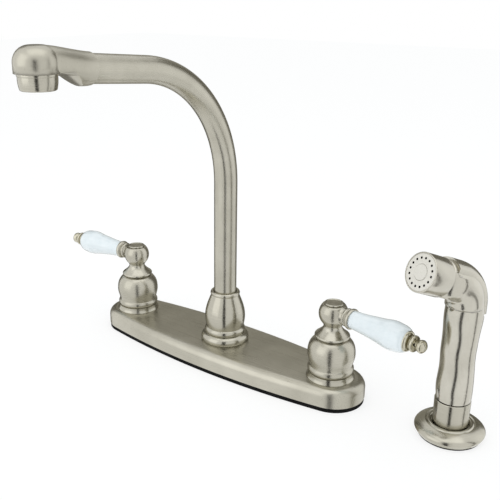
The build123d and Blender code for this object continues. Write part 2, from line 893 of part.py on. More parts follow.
def nose_back():
    """The neck of the casting: from the round socket it widens and flattens into the head."""
    socket = arm_plane(nose_joint_reach) * Circle(nose_socket_radius)
    swell = arm_plane(nose_joint_reach + nose_socket_depth) * Circle(nose_socket_radius + nose_socket_swell)
    neck = neck_section(nose_neck_reach, nose_neck_half_width, nose_neck_top)
    head = neck_section(outlet_reach, nose_head_radius - 0.4, nose_crown)
    return loft([socket, swell, neck, head])


def under_cut():
    """What is cut away below: a slanted facet under the socket and the flat underside in front of it."""
    foot_height = arm_height(facet_foot_reach) - nose_socket_radius
    depth = 10.0
    low = foot_height - depth
    far = outlet_reach + 2 * nose_head_radius
    outline = Polyline(
        (-facet_foot_reach + facet_slope * depth, low),
        (-facet_foot_reach - facet_slope * (nose_underside - foot_height), nose_underside),
        (-far, nose_underside),
        (-far, low),
        (-facet_foot_reach + facet_slope * depth, low),
    )
    return extrude(Plane.YZ * make_face(outline), 2 * nose_head_radius, both=True)


def water_duct():
    """The passage from the tube's end to the chamber over the aerator."""
    start = nose_joint_reach + nose_socket_depth - 1
    run = outlet_reach - start
    climb = duct_end_height - arm_height(start)
    plane = Plane(origin=(0, -start, arm_height(start)), x_dir=(1, 0, 0), z_dir=(0, -run, climb))
    return plane * disc(duct_radius, 0, hypot(run, climb))


def spout_nose():
    """The cast nose: a socket over the tube, cut off below, and the head with the outlet."""
    nose = nose_head() + nose_back() - under_cut()
    bore = tube_radius + STATIC_GAP / 2
    nose -= arm_plane(nose_joint_reach - 1) * disc(bore, 0, nose_socket_depth + 1)
    nose -= water_duct()
    outlet = Pos(0, -outlet_reach, 0)
    nose -= outlet * disc(chamber_radius, nose_underside, nose_underside + chamber_height)
    return nose + outlet * ring(aerator_thread_radius, chamber_radius, thread_bottom, nose_underside)


def aerator_housing():
    """The aerator's round shell, screwed on the outlet, with a thin ring at its top."""
    top = nose_underside - STATIC_GAP
    bore = aerator_radius - aerator_wall
    outline = steps(
        (aerator_thread_radius, top),
        (aerator_radius, top),
        (aerator_radius, top - 1.3),
        (aerator_radius - 0.35, top - 1.6),
        (aerator_radius - 0.35, top - 2.0),
    )
    side = ThreePointArc(
        (aerator_radius - 0.35, top - 2.0),
        (aerator_radius - 0.55, aerator_bottom + 3.6),
        (aerator_radius - 1.0, aerator_bottom + 1.2),
    )
    foot = ThreePointArc(
        (aerator_radius - 1.0, aerator_bottom + 1.2),
        (aerator_radius - 1.4, aerator_bottom + 0.3),
        (aerator_radius - 2.2, aerator_bottom),
    )
    inside = steps(
        (aerator_radius - 2.2, aerator_bottom),
        (bore - 1.8, aerator_bottom),
        (bore - 1.8, aerator_bottom + 0.9),
        (bore, aerator_bottom + 0.9),
        (bore, thread_bottom),
        (aerator_thread_radius, thread_bottom),
        (aerator_thread_radius, top),
    )
    return Pos(0, -outlet_reach, 0) * turned(*outline, side, foot, *inside)


def aerator_screen():
    """The perforated insert in the aerator."""
    bottom = aerator_bottom + 0.9
    top = thread_bottom - aerator_washer_thickness
    insert = disc(aerator_radius - aerator_wall - STATIC_GAP, bottom, top)
    for hole in PolarLocations(jet_circle, 8):
        insert -= hole * disc(jet_radius, bottom, top)
    insert -= disc(middle_jet_radius, bottom, top)
    return Pos(0, -outlet_reach, 0) * insert


def aerator_washer():
    """The flat rubber washer that seals the aerator."""
    bottom = thread_bottom - aerator_washer_thickness
    outer = aerator_radius - aerator_wall - STATIC_GAP
    return Pos(0, -outlet_reach, 0) * ring(outer, aerator_washer_bore, bottom, thread_bottom)


# ---------------------------------------------------------------- sprayer holder
spray_place = Pos(sprayer_x, sprayer_y, 0) * Rot(0, 0, -sprayer_heading)


def holder_flange():
    """The holder's broad rounded flange, with a bead round its mouth and a seat for the handset."""
    base = holder_gasket_thickness
    side = Spline(
        (holder_foot_radius, base),
        (holder_radius, base + 3.4),
        (holder_bead_radius + 2.4, holder_top - 0.6),
        tangents=[(0.8, 1), (-1, 0.22)],
    )
    bead_edge = (holder_bead_radius + 1.6, holder_top - 0.9)
    groove = Line((holder_bead_radius + 2.4, holder_top - 0.6), bead_edge)
    bead = ThreePointArc(
        bead_edge,
        (holder_bead_radius + 0.4, holder_top),
        (holder_mouth_radius, holder_top - 1.0),
    )
    rest = steps(
        (holder_mouth_radius, holder_top - 1.0),
        (holder_mouth_radius, holder_seat),
        (holder_bore_radius, holder_seat),
        (holder_bore_radius, base),
        (holder_foot_radius, base),
    )
    return Pos(sprayer_x, sprayer_y, 0) * turned(side, groove, bead, *rest)


def holder_gasket():
    """The thin rubber ring under the flange."""
    pad = ring(holder_foot_radius - 0.6, holder_shank_radius, 0, holder_gasket_thickness)
    return Pos(sprayer_x, sprayer_y, 0) * pad


def holder_shank():
    """The threaded shank that passes through the fourth hole of the deck."""
    relief_top = holder_nut_bottom - 1
    top = holder_gasket_thickness
    shank = threaded_shank(holder_shank_radius, holder_bore_radius, -holder_shank_length, relief_top, top)
    return Pos(sprayer_x, sprayer_y, 0) * shank


def holder_nut():
    """The wing nut under the deck."""
    nut = disc(holder_nut_radius, holder_nut_bottom, -deck_thickness)
    for sign in (-1, 1):
        wing_x = sign * (holder_nut_radius + wing_length / 2 - 1.5)
        wing = Box(wing_length, wing_width, wing_height)
        nut += Pos(wing_x, 0, holder_nut_bottom + wing_height / 2) * wing
    nut -= disc(holder_shank_radius, holder_nut_bottom, -deck_thickness)
    return Pos(sprayer_x, sprayer_y, 0) * nut


# ---------------------------------------------------------------- sprayer handset, drawn facing -Y
tilt = radians(head_tilt)
axis_cross = face_height - face_reach * tan(tilt)
elbow_tangent = elbow_radius * tan((radians(90) - tilt) / 2)
elbow_start = axis_cross - elbow_tangent
forward = (0, -cos(tilt), sin(tilt))
groove_back = head_ring_length
body_bottom = sleeve_top + handset_groove


def head_point(setback, raise_by=0.0):
    """A point behind the face's centre along the head's axis, raised square to the axis."""
    y = -face_reach + setback * cos(tilt) + raise_by * sin(tilt)
    z = face_height - setback * sin(tilt) + raise_by * cos(tilt)
    return (0, y, z)


def head_plane(setback):
    """A plane across the head; its Z axis looks out of the spray face, its Y axis down."""
    return Plane(origin=head_point(setback), x_dir=(-1, 0, 0), z_dir=forward)


def elbow_path(setback, low):
    """The handset's centreline, from the head back round the elbow and down to a height."""
    head_end = (0, -elbow_tangent * cos(tilt), axis_cross + elbow_tangent * sin(tilt))
    half = (radians(90) - tilt) / 2
    middle = (0, -elbow_radius * (1 - cos(half)), elbow_start + elbow_radius * sin(half))
    down = Line((0, 0, elbow_start), (0, 0, low))
    return Line(head_point(setback), head_end) + ThreePointArc(head_end, middle, (0, 0, elbow_start)) + down


def back_section(setback):
    """The plane at the start of the elbow's path; its local Y axis points to the handset's back."""
    return Plane(origin=head_point(setback), x_dir=(-1, 0, 0), z_dir=(0, cos(tilt), -sin(tilt)))


def grip_section(height):
    """The grip's outline at a height: finger waves in front, a slim waist, a heel under the trigger."""
    wave = wave_depth * cos(2 * pi * (height - first_wave_crest) / wave_pitch)
    waist = waist_depth * sin(pi * min(max((height - waist_start) / waist_length, 0), 1)) ** 2
    front = grip_radius - wave_depth / 2 + wave / 2 - waist / 2
    rise = min(max((height - heel_start) / (slot_bottom - heel_start), 0), 1)
    back = grip_radius - 0.2 + (heel_radius - grip_radius + 0.2) * rise * rise * (3 - 2 * rise) - waist
    foot = min((height - body_bottom) / 5.0, 1)
    side = grip_radius - 0.5 + 0.5 * foot - waist / 2
    return Pos(0, (back - front) / 2, height) * Ellipse(side, (front + back) / 2)


def handset_shape():
    """The outside of the handset's body: a lofted grip and a round elbow."""
    count = 11
    stations = [body_bottom + (elbow_start - body_bottom) * n / (count - 1) for n in range(count)]
    grip = loft([grip_section(height) for height in stations])
    start = groove_back + 0.5
    elbow = sweep(back_section(start) * Circle(grip_radius + 0.3), path=elbow_path(start, elbow_start - 2))
    return grip + elbow


def trigger_slot():
    """The space that the trigger sinks into."""
    start = groove_back + 3.0
    core = Circle(slot_core_radius)
    window = Pos(0, slot_floor + 10) * Rectangle(2 * (trigger_half_width + 0.3), 20)
    return sweep(back_section(start) * (window - core), path=elbow_path(start, slot_bottom))


def plunger_bore(radius, deep, shallow):
    """A cylinder square to the grip, between two distances behind its centre."""
    plane = Plane(origin=(0, deep, plunger_height), x_dir=(1, 0, 0), z_dir=(0, 1, 0))
    return plane * disc(radius, 0, shallow - deep)


def pivot_cylinder(radius, inner, outer, side):
    """A cylinder on the trigger's pivot axis, to one side of the handset's middle."""
    centre = head_point(groove_back + pivot_setback, pivot_depth)
    plane = Plane(origin=centre, x_dir=(0, 1, 0), z_dir=(side, 0, 0))
    return plane * disc(radius, inner, outer)


pin_inner = slot_core_radius + 0.3
pin_outer = trigger_half_width + 1.2


def handset_body():
    """The handset's body: grip, elbow, the slot for the trigger and the waterway inside."""
    body = handset_shape()
    body -= trigger_slot()
    spigot = head_plane(groove_back + handset_groove)
    body += spigot * disc(head_ring_radius - head_ring_wall - STATIC_GAP, 0, head_spigot_length)
    body -= disc(grip_bore_radius, body_bottom - 1, elbow_start)
    mouth = groove_back + handset_groove - head_spigot_length
    body -= sweep(back_section(mouth) * Circle(grip_bore_radius), path=elbow_path(mouth, elbow_start - 2))
    spider = Box(2 * grip_bore_radius + 2, spider_width, spider_height)
    spider += Cylinder(spider_hub_radius, spider_height)
    spider -= Cylinder(button_stem_radius, spider_height)
    body += spigot * (Pos(0, 0, head_spigot_length - spider_height / 2) * spider)
    body -= plunger_bore(plunger_radius + RUNNING_GAP, 0, slot_core_radius + 1)
    for side in (-1, 1):
        body -= pivot_cylinder(pivot_pin_radius, pin_inner, pin_outer, side)
    return spray_place * body


def trigger():
    """The thumb trigger: a curved shell that nests in the slot and hinges near the head."""
    start = groove_back + 3.5
    outer = Circle(trigger_radius)
    inner_width = 2 * (trigger_half_width - 1.5)
    band = Pos(0, trigger_skirt_edge + 10) * Rectangle(2 * trigger_half_width, 20)
    hollow = Circle(trigger_radius - trigger_wall) & Rectangle(inner_width, 4 * trigger_radius)
    shell = sweep(back_section(start) * ((outer & band) - hollow), path=elbow_path(start, trigger_bottom))
    for side in (-1, 1):
        ear = pivot_cylinder(pivot_ear_radius, trigger_half_width - 1.5, trigger_half_width, side)
        shell += ear
        shell -= pivot_cylinder(pivot_pin_radius + RUNNING_GAP, pin_inner, pin_outer, side)
    return spray_place * shell


def trigger_pins():
    """The two short pins that the trigger hinges on."""
    pins = [pivot_cylinder(pivot_pin_radius, pin_inner, pin_outer, side) for side in (-1, 1)]
    return Compound([spray_place * pin for pin in pins])


def valve_plunger():
    """The push rod under the trigger, with the disc that opens the water."""
    tip = trigger_radius - trigger_wall - 0.3
    rod = plunger_bore(plunger_radius, plunger_tail, tip)
    disc_part = plunger_bore(plunger_disc_radius, plunger_tail, plunger_tail + plunger_disc_thickness)
    return spray_place * (rod + disc_part)


def spray_ring():
    """The ring that forms the spray head's rim."""
    wall_inside = head_ring_radius - head_ring_wall
    outline = steps(
        (wall_inside, 0),
        (head_ring_radius, 0),
        (head_ring_radius, head_ring_length - 0.5),
        (head_ring_radius - 0.4, head_ring_length),
        (face_radius + STATIC_GAP, head_ring_length),
        (face_radius + STATIC_GAP, head_ring_length - face_thickness - face_setback),
        (face_radius - 1.2, head_ring_length - face_thickness - face_setback),
        (face_radius - 1.2, head_spigot_length + 1.0),
        (wall_inside, head_spigot_length + 1.0),
        (wall_inside, 0),
    )
    return spray_place * (head_plane(groove_back) * turned(*outline))


def spray_face():
    """The pale face plate with its ring of spray holes."""
    bottom = head_ring_length - face_thickness - face_setback
    plate = disc(face_radius, bottom, bottom + face_thickness)
    for hole in PolarLocations(face_hole_circle, face_hole_count, start_angle=90):
        plate -= hole * disc(face_hole_radius, bottom, bottom + face_thickness)
    plate -= disc(button_radius + STATIC_GAP, bottom + face_thickness - button_recess, bottom + 10)
    plate -= disc(button_stem_radius + STATIC_GAP, bottom - 1, bottom + 10)
    return spray_place * (head_plane(groove_back) * plate)


def face_button():
    """The round button in the middle of the face, on the stem that holds the face plate."""
    floor = head_ring_length - face_setback - button_recess
    knob = disc(button_radius, floor, floor + button_height)
    knob = fillet(knob.faces().sort_by(Axis.Z)[-1].edges(), 0.4)
    stem = disc(button_stem_radius, head_spigot_length - handset_groove - spider_height, floor)
    return spray_place * (head_plane(groove_back) * (knob + stem))


def handset_sleeve():
    """The plain sleeve under the grip that stands in the holder."""
    seat = holder_seat + SEAT_GAP
    outline = steps(
        (nose_plug_radius, seat),
        (sleeve_radius - 0.4, seat),
        (sleeve_radius, seat + 0.5),
        (sleeve_radius + 0.2, sleeve_top - 0.4),
        (sleeve_radius - 0.2, sleeve_top),
        (nose_plug_radius - 2, sleeve_top),
        (nose_plug_radius - 2, seat + 4),
        (nose_plug_radius, seat + 4),
        (nose_plug_radius, seat),
    )
    return spray_place * turned(*outline)


def hose_connector():
    """The connector in the sleeve, with the thread that takes the hose from below."""
    seat = holder_seat + SEAT_GAP
    plug = disc(nose_plug_radius, nose_plug_bottom, seat + 4)
    plug += disc(nose_plug_radius - 2, seat + 4, body_bottom)
    plug -= disc(hose_thread_radius, nose_plug_bottom, nose_plug_bottom + 10)
    plug -= disc(grip_bore_radius - 1.5, nose_plug_bottom, body_bottom)
    return spray_place * chamfer(plug.faces().sort_by(Axis.Z)[0].edges().sort_by(SortBy.RADIUS)[-1], 0.8)


# ---------------------------------------------------------------- all the pieces
single_pieces = (
    deck_plate, deck_gasket, waterway_body, sprayer_outlet, deck_washers, deck_lock_nuts,
    diverter_seat, diverter_plunger, seat_seals, fixed_discs, plate_nuts,
    spout_tube, spout_foot, spout_o_rings, glide_ring, spout_flange, spout_nut,
    spout_nose, aerator_housing, aerator_screen, aerator_washer,
    holder_flange, holder_gasket, holder_shank, holder_nut,
    handset_body, handset_sleeve, hose_connector, spray_ring, spray_face, face_button,
    trigger, trigger_pins, valve_plunger,
)
handed_pieces = (
    inlet_shank, cartridge, valve_stem, moving_disc, base_ring, bell,
    handle_hub, handle_screw, index_cap, lever_ferrule, porcelain_lever, lever_finial,
)
for piece in single_pieces:
    save(piece.__name__, piece())
for piece in handed_pieces:
    for side, word in ((-1, "left"), (1, "right")):
        save(f"{word}_{piece.__name__}", piece(side))
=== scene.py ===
# %% [markdown]
# # A kitchen faucet with a side sprayer
#
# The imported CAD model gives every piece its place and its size. This lesson gives the faucet its looks:
# satin nickel, polished nickel, glazed porcelain, moulded plastic and rubber, in soft studio light.
# Lengths are written in millimetres, as on the maker's drawing, and Blender works in metres.

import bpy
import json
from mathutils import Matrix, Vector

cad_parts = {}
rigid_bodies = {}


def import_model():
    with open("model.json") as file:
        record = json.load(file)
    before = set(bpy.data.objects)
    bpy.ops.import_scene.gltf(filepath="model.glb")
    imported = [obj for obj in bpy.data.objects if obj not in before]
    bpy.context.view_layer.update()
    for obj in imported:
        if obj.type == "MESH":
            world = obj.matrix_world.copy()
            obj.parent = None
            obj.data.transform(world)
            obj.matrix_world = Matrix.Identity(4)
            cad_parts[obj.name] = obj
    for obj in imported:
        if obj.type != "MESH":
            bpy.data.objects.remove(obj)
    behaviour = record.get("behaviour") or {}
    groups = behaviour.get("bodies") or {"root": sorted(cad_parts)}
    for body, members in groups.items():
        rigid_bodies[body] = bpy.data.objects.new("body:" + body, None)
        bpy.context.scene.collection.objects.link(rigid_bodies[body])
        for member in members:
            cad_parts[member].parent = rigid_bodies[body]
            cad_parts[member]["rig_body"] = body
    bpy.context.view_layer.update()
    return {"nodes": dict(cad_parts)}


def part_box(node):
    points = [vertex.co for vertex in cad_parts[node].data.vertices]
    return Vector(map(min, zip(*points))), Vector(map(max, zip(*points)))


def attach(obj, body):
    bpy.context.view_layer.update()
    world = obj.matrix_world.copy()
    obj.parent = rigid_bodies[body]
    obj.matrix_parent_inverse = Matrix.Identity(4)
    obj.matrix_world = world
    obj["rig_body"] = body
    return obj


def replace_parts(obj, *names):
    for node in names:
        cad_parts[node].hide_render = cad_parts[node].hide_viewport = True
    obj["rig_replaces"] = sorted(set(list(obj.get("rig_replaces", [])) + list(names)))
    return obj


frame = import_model()

# %% Blender's own modules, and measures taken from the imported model
import json
from math import atan2, cos, hypot, pi, radians, sin, tan

import bmesh
import bpy
from mathutils import Matrix, Vector

MM = 0.001
scene = bpy.context.scene


def measure(node):
    """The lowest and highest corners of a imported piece, in millimetres."""
    low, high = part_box(node)
    return Vector(low) / MM, Vector(high) / MM


def round_size(node):
    """The radius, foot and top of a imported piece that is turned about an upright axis."""
    low, high = measure(node)
    return (high.x - low.x) / 2, low.z, high.z


def at(x, y, z=0.0):
    """A place on the drawing, in millimetres."""
    return Matrix.Translation(Vector((x, y, z)) * MM)


print("the plate's top is", round(round_size("deck_plate")[2], 2), "mm over the deck")

# %% [markdown]
# ## The camera
#
# The photograph was matched with a normal lens, near 50 mm, from the faucet's front right and a little
# above it. A camera that looks at a target is easiest to read as a heading, a height angle and a small roll,
# so it is set that way and not as a matrix. The lens shift does what the photographer's crop did: the target
# isn't in the middle.

# %% Camera
camera_heading = radians(37.78)
camera_rise = radians(18.65)
camera_roll = radians(0.41)
camera_target = Vector((4.24, 0.35, 106.27)) * MM
camera_distance = 572.2 * MM
image_side = 500
focal_pixels = 716.0
middle_x = 229.94
middle_y = 237.88

away = Vector(
    (
        sin(camera_heading) * cos(camera_rise),
        -cos(camera_heading) * cos(camera_rise),
        sin(camera_rise),
    )
)
lens = bpy.data.cameras.new("photo_camera")
lens.sensor_width = 36.0
lens.lens = focal_pixels * lens.sensor_width / image_side
lens.shift_x = (image_side / 2 - middle_x) / image_side
lens.shift_y = (middle_y - image_side / 2) / image_side
lens.clip_start = 0.05
camera = bpy.data.objects.new("photo_camera", lens)
scene.collection.objects.link(camera)
camera.location = camera_target + away * camera_distance
looking = (-away).to_track_quat("-Z", "Y").to_matrix().to_4x4()
camera.rotation_euler = (looking @ Matrix.Rotation(camera_roll, 4, "Z")).to_euler()
scene.camera = camera
scene.view_settings.view_transform = "Standard"
camera_spot = [round(value / MM) for value in camera.location]
print("camera stands at", camera_spot, "mm, lens", round(lens.lens, 1), "mm")

# %% [markdown]
# ## Colours and nodes
#
# Colours are picked in sRGB, where hex codes live, but the renderer adds up light, which is linear.
# One function makes the change, and one more adds a node with its settings, values and links.


# %% Two small helpers for materials
def linear(code):
    """A hex sRGB colour as linear red, green, blue and full alpha."""
    parts = [int(code[place : place + 2], 16) / 255 for place in (0, 2, 4)]
    return [part / 12.92 if part <= 0.04045 else ((part + 0.055) / 1.055) ** 2.4 for part in parts] + [1.0]


def add(tree, kind, values=None, links=None, **settings):
    """Adds a node; values and links go to its sockets by name or number."""
    node = tree.nodes.new("ShaderNode" + kind)
    for name, value in settings.items():
        setattr(node, name, value)
    for socket, value in (values or {}).items():
        node.inputs[socket].default_value = value
    for socket, source in (links or {}).items():
        tree.links.new(source, node.inputs[socket])
    return node


print("mid grey 808080 is", round(linear("808080")[0], 3), "linear")

# %% [markdown]
# ## Floor, background and lamps
#
# The faucet stands on white paper. The world is white for the camera and for reflections, while the floor
# is part paper and part glow: the glow keeps it white, and the paper part still takes the faucet's soft
# shadow. Reflections skip the floor and see the white world below it, as over a lit glass table.


# %% World and floor
world = bpy.data.worlds.new("white_studio")
scene.world = world
world.use_nodes = True
tree = world.node_tree
tree.nodes.clear()
path = add(tree, "LightPath")
seen = add(
    tree,
    "Math",
    links={0: path.outputs["Is Camera Ray"], 1: path.outputs["Is Glossy Ray"]},
    operation="MAXIMUM",
)
seen = add(
    tree,
    "Math",
    links={0: seen.outputs[0], 1: path.outputs["Is Transmission Ray"]},
    operation="MAXIMUM",
)
room_light = add(tree, "Background", {"Color": linear("F8FBFC"), "Strength": 0.86})
white_wall = add(tree, "Background", {"Color": (1, 1, 1, 1), "Strength": 1.0})
mixed = add(
    tree,
    "MixShader",
    links={0: seen.outputs[0], 1: room_light.outputs[0], 2: white_wall.outputs[0]},
)
add(tree, "OutputWorld", links={"Surface": mixed.outputs[0]})


def new_material(name):
    """An empty node material."""
    material = bpy.data.materials.new(name)
    material.use_nodes = True
    material.node_tree.nodes.clear()
    return material


def finished(name, shape):
    """Turns a bmesh into an object at the world origin, in metres."""
    mesh = bpy.data.meshes.new(name)
    shape.to_mesh(mesh)
    shape.free()
    piece = bpy.data.objects.new(name, mesh)
    scene.collection.objects.link(piece)
    return piece


paper = new_material("white_studio_paper")
tree = paper.node_tree
place = add(tree, "TexCoord").outputs["Object"]
# the fibres are drawn 2.5 mm long, coarser than real ones
fibres = add(tree, "TexNoise", {"Scale": 400.0, "Detail": 4.0}, {"Vector": place})
whites = add(tree, "ValToRGB", links={"Fac": fibres.outputs["Fac"]})
whites.color_ramp.elements[0].color = linear("FAFAFA")
whites.color_ramp.elements[1].color = linear("FFFFFF")
matte = add(tree, "BsdfDiffuse", links={"Color": whites.outputs["Color"]})
glow = add(tree, "Emission", {"Color": (1, 1, 1, 1), "Strength": 1.06})
path = add(tree, "LightPath")
share = add(tree, "Math", {1: 0.70}, {0: path.outputs["Is Camera Ray"]}, operation="MULTIPLY")
both = add(tree, "MixShader", links={0: share.outputs[0], 1: matte.outputs[0], 2: glow.outputs[0]})
add(tree, "OutputMaterial", links={"Surface": both.outputs[0]})

shape = bmesh.new()
bmesh.ops.create_grid(shape, x_segments=1, y_segments=1, size=4.0)
floor = finished("studio_floor", shape)
floor.data.materials.append(paper)
floor.visible_glossy = False
print("floor is", round(floor.dimensions.x, 1), "m wide")

# %% [markdown]
# Metal shows its surroundings more than itself. A product photographer puts large soft lamps on both sides
# of the lens and leaves a narrow dark gap at the lens: that gap is the thin dark line down every turned
# part. Here a dark card stands for the gap, and a narrower one to the right draws a second, softer line.
# Grey cards behind the faucet give the dark edges and the darker top of the base plate. The cards are
# seen by reflections only, and they neither shade the faucet nor show in the picture.


# %% Lamps and cards
def around(heading, rise, distance):
    """A point at a heading right of the camera, a height angle and a distance from the faucet's middle."""
    angle = camera_heading + radians(heading)
    up = radians(rise)
    return camera_target + Vector((sin(angle) * cos(up), -cos(angle) * cos(up), sin(up))) * distance


def soft_lamp(name, heading, rise, distance, width, height, brightness):
    """A rectangular lamp that looks at the faucet; brightness is its radiance, where 1 is white."""
    light = bpy.data.lights.new(name, "AREA")
    light.shape = "RECTANGLE"
    light.size = width
    light.size_y = height
    light.energy = brightness * pi * width * height
    lamp = bpy.data.objects.new(name, light)
    scene.collection.objects.link(lamp)
    lamp.location = around(heading, rise, distance)
    lamp.rotation_euler = (camera_target - lamp.location).to_track_quat("-Z", "Y").to_euler()
    return lamp


soft_lamp("left_lamp", heading=-60, rise=20, distance=1.5, width=1.2, height=1.6, brightness=0.45)
soft_lamp("right_lamp", heading=96, rise=10, distance=1.5, width=0.7, height=1.3, brightness=0.10)
soft_lamp("top_lamp", heading=10, rise=78, distance=1.4, width=1.5, height=1.1, brightness=0.45)


def card(name, heading, half_angle, distance, bottom, top, level):
    """A standing card that only reflections see."""
    grey = new_material(name + "_painted_board")
    glow = add(grey.node_tree, "Emission", {"Color": linear(level), "Strength": 1.0})
    add(grey.node_tree, "OutputMaterial", links={"Surface": glow.outputs[0]})
    shape = bmesh.new()
    bmesh.ops.create_grid(shape, x_segments=1, y_segments=1, size=1.0)
    half_width = distance * tan(radians(half_angle))
    bmesh.ops.scale(shape, vec=(half_width, (top - bottom) / 2, 1), verts=shape.verts)
    foot = around(heading, 0, distance)
    facing = Matrix.Rotation(camera_heading + radians(heading), 4, "Z") @ Matrix.Rotation(pi / 2, 4, "X")
    middle = Matrix.Translation((foot.x, foot.y, (top + bottom) / 2))
    bmesh.ops.transform(shape, matrix=middle @ facing, verts=shape.verts)
    board = finished(name, shape)
    board.data.materials.append(grey)
    board.visible_camera = False
    board.visible_diffuse = False
    board.visible_shadow = False
    board.visible_transmission = False
    return board


card("lens_gap", heading=-6.0, half_angle=8.0, distance=0.56, bottom=-0.9, top=0.50, level="1A1816")
card("side_gap", heading=62, half_angle=3.5, distance=0.8, bottom=-0.6, top=0.75, level="4A463C")
card("back_card", heading=180, half_angle=50, distance=1.1, bottom=-0.9, top=0.95, level="9C998F")
card("left_edge_card", heading=-146, half_angle=16, distance=0.9, bottom=-0.5, top=1.0, level="6A675E")
card("right_edge_card", heading=140, half_angle=20, distance=0.9, bottom=-0.5, top=1.0, level="77746A")

# %% [markdown]
# ## Metals
#
# Satin nickel is nickel plate over brass or zinc, brushed with a fine abrasive belt or wheel before it is
# lacquered. Close up it is thousands of parallel scratches, about 0.1 mm apart, which draw reflections out
# across them. Here they are drawn coarser, 0.5 to 1.1 mm apart, so that they still show at the size of the
# render. On the bells and other plain turned parts the shader's own anisotropy stands for the finer ones.
#
# The scratches go round a turned part, because the wheel stays still and the part spins. On the base plate
# and the tube they run along the length. Cast parts are polished by hand, and their marks are shorter. So
# the same recipe is used with a different stretch of the coordinates for each.


# %% Satin nickel
satin_tones = ("B2AFA2", "C3C0B3")
bright_tones = ("BFBCB0", "D0CDC2")


def satin_nickel(name, stretch, roughness, streak, tones=satin_tones, anisotropy=0.0, source="Object"):
    """Brushed nickel plate; stretch is the scratches per millimetre on each axis, streak their relief."""
    material = new_material(name)
    tree = material.node_tree
    place = add(tree, "TexCoord").outputs[source]
    along = add(tree, "Mapping", {"Scale": [part / MM for part in stretch]}, {"Vector": place})
    scratches = add(
        tree,
        "TexNoise",
        {"Scale": 1.0, "Detail": 5.0, "Roughness": 0.6},
        {"Vector": along.outputs[0]},
    )
    # handling and lacquer leave broad, faint clouds about 25 mm across
    clouds = add(tree, "TexNoise", {"Scale": 40.0, "Detail": 3.0}, {"Vector": place})
    blended = add(
        tree,
        "Math",
        {1: 0.45},
        {0: scratches.outputs["Fac"], 2: clouds.outputs["Fac"]},
        operation="MULTIPLY_ADD",
    )
    tone = add(tree, "ValToRGB", links={"Fac": blended.outputs[0]})
    tone.color_ramp.elements[0].position = 0.5
    tone.color_ramp.elements[1].position = 0.95
    tone.color_ramp.elements[0].color = linear(tones[0])
    tone.color_ramp.elements[1].color = linear(tones[1])
    dull = add(
        tree,
        "MapRange",
        {"From Min": 0.3, "From Max": 0.7, "To Min": roughness - 0.04, "To Max": roughness + 0.05},
        {"Value": scratches.outputs["Fac"]},
    )
    height = add(
        tree,
        "Bump",
        {"Strength": streak, "Distance": 0.02 * MM},
        {"Height": scratches.outputs["Fac"]},
    )
    metal = add(
        tree,
        "BsdfPrincipled",
        {"Metallic": 1.0, "Anisotropic": anisotropy, "Anisotropic Rotation": 0.25},
        {"Base Color": tone.outputs["Color"], "Roughness": dull.outputs[0], "Normal": height.outputs[0]},
    )
    add(tree, "OutputMaterial", links={"Surface": metal.outputs[0]})
    return material


# along X, Y and Z, where a high number is fine and a low one drawn out; the tube's map counts round the
# tube and then along it
round_upright = (0.03, 0.03, 2.0)
round_lever = (2.0, 0.03, 0.03)
along_tube = (0.9, 0.012, 1.0)
along_plate = (0.02, 1.6, 1.6)
by_hand = (2.2, 2.2, 0.5)
turned_nickel = satin_nickel(
    "satin_nickel_turned", round_upright, roughness=0.23, streak=0.06, anisotropy=0.4
)
bell_nickel = satin_nickel("satin_nickel_bell", round_upright, roughness=0.28, streak=0.06, anisotropy=0.4)
hub_nickel = satin_nickel("satin_nickel_hub", round_upright, roughness=0.25, streak=0.05)
lever_nickel = satin_nickel("satin_nickel_lever_ring", round_lever, roughness=0.24, streak=0.15)
tube_nickel = satin_nickel("satin_nickel_tube", along_tube, roughness=0.27, streak=0.02, source="UV")
plate_nickel = satin_nickel("satin_nickel_long_brushed", along_plate, roughness=0.30, streak=0.12)
cast_nickel = satin_nickel("satin_nickel_hand_polished", by_hand, roughness=0.31, streak=0.04)
handset_nickel = satin_nickel(
    "satin_nickel_bright_polished", by_hand, roughness=0.2, streak=0.03, tones=bright_tones
)
satin_count = len([m for m in bpy.data.materials if m.name.startswith("satin")])
print("satin nickel finishes:", satin_count)

# %% [markdown]
# ## The other materials
#
# - Polished nickel on the lever ends: the same plate, buffed to a mirror and a little yellower.
# - Glazed porcelain: a white body under clear glass. The glass gives one sharp highlight, and the cobalt in
#   the glaze a faint cool tint.
# - Moulded acetal for the spray face: off-white, with the fine grain of its mould.
# - Black rubber and foam: they hardly reflect, so their grain does the work.
# - Machined brass, zinc-plated steel, sintered alumina and nylon for what the housings hide.


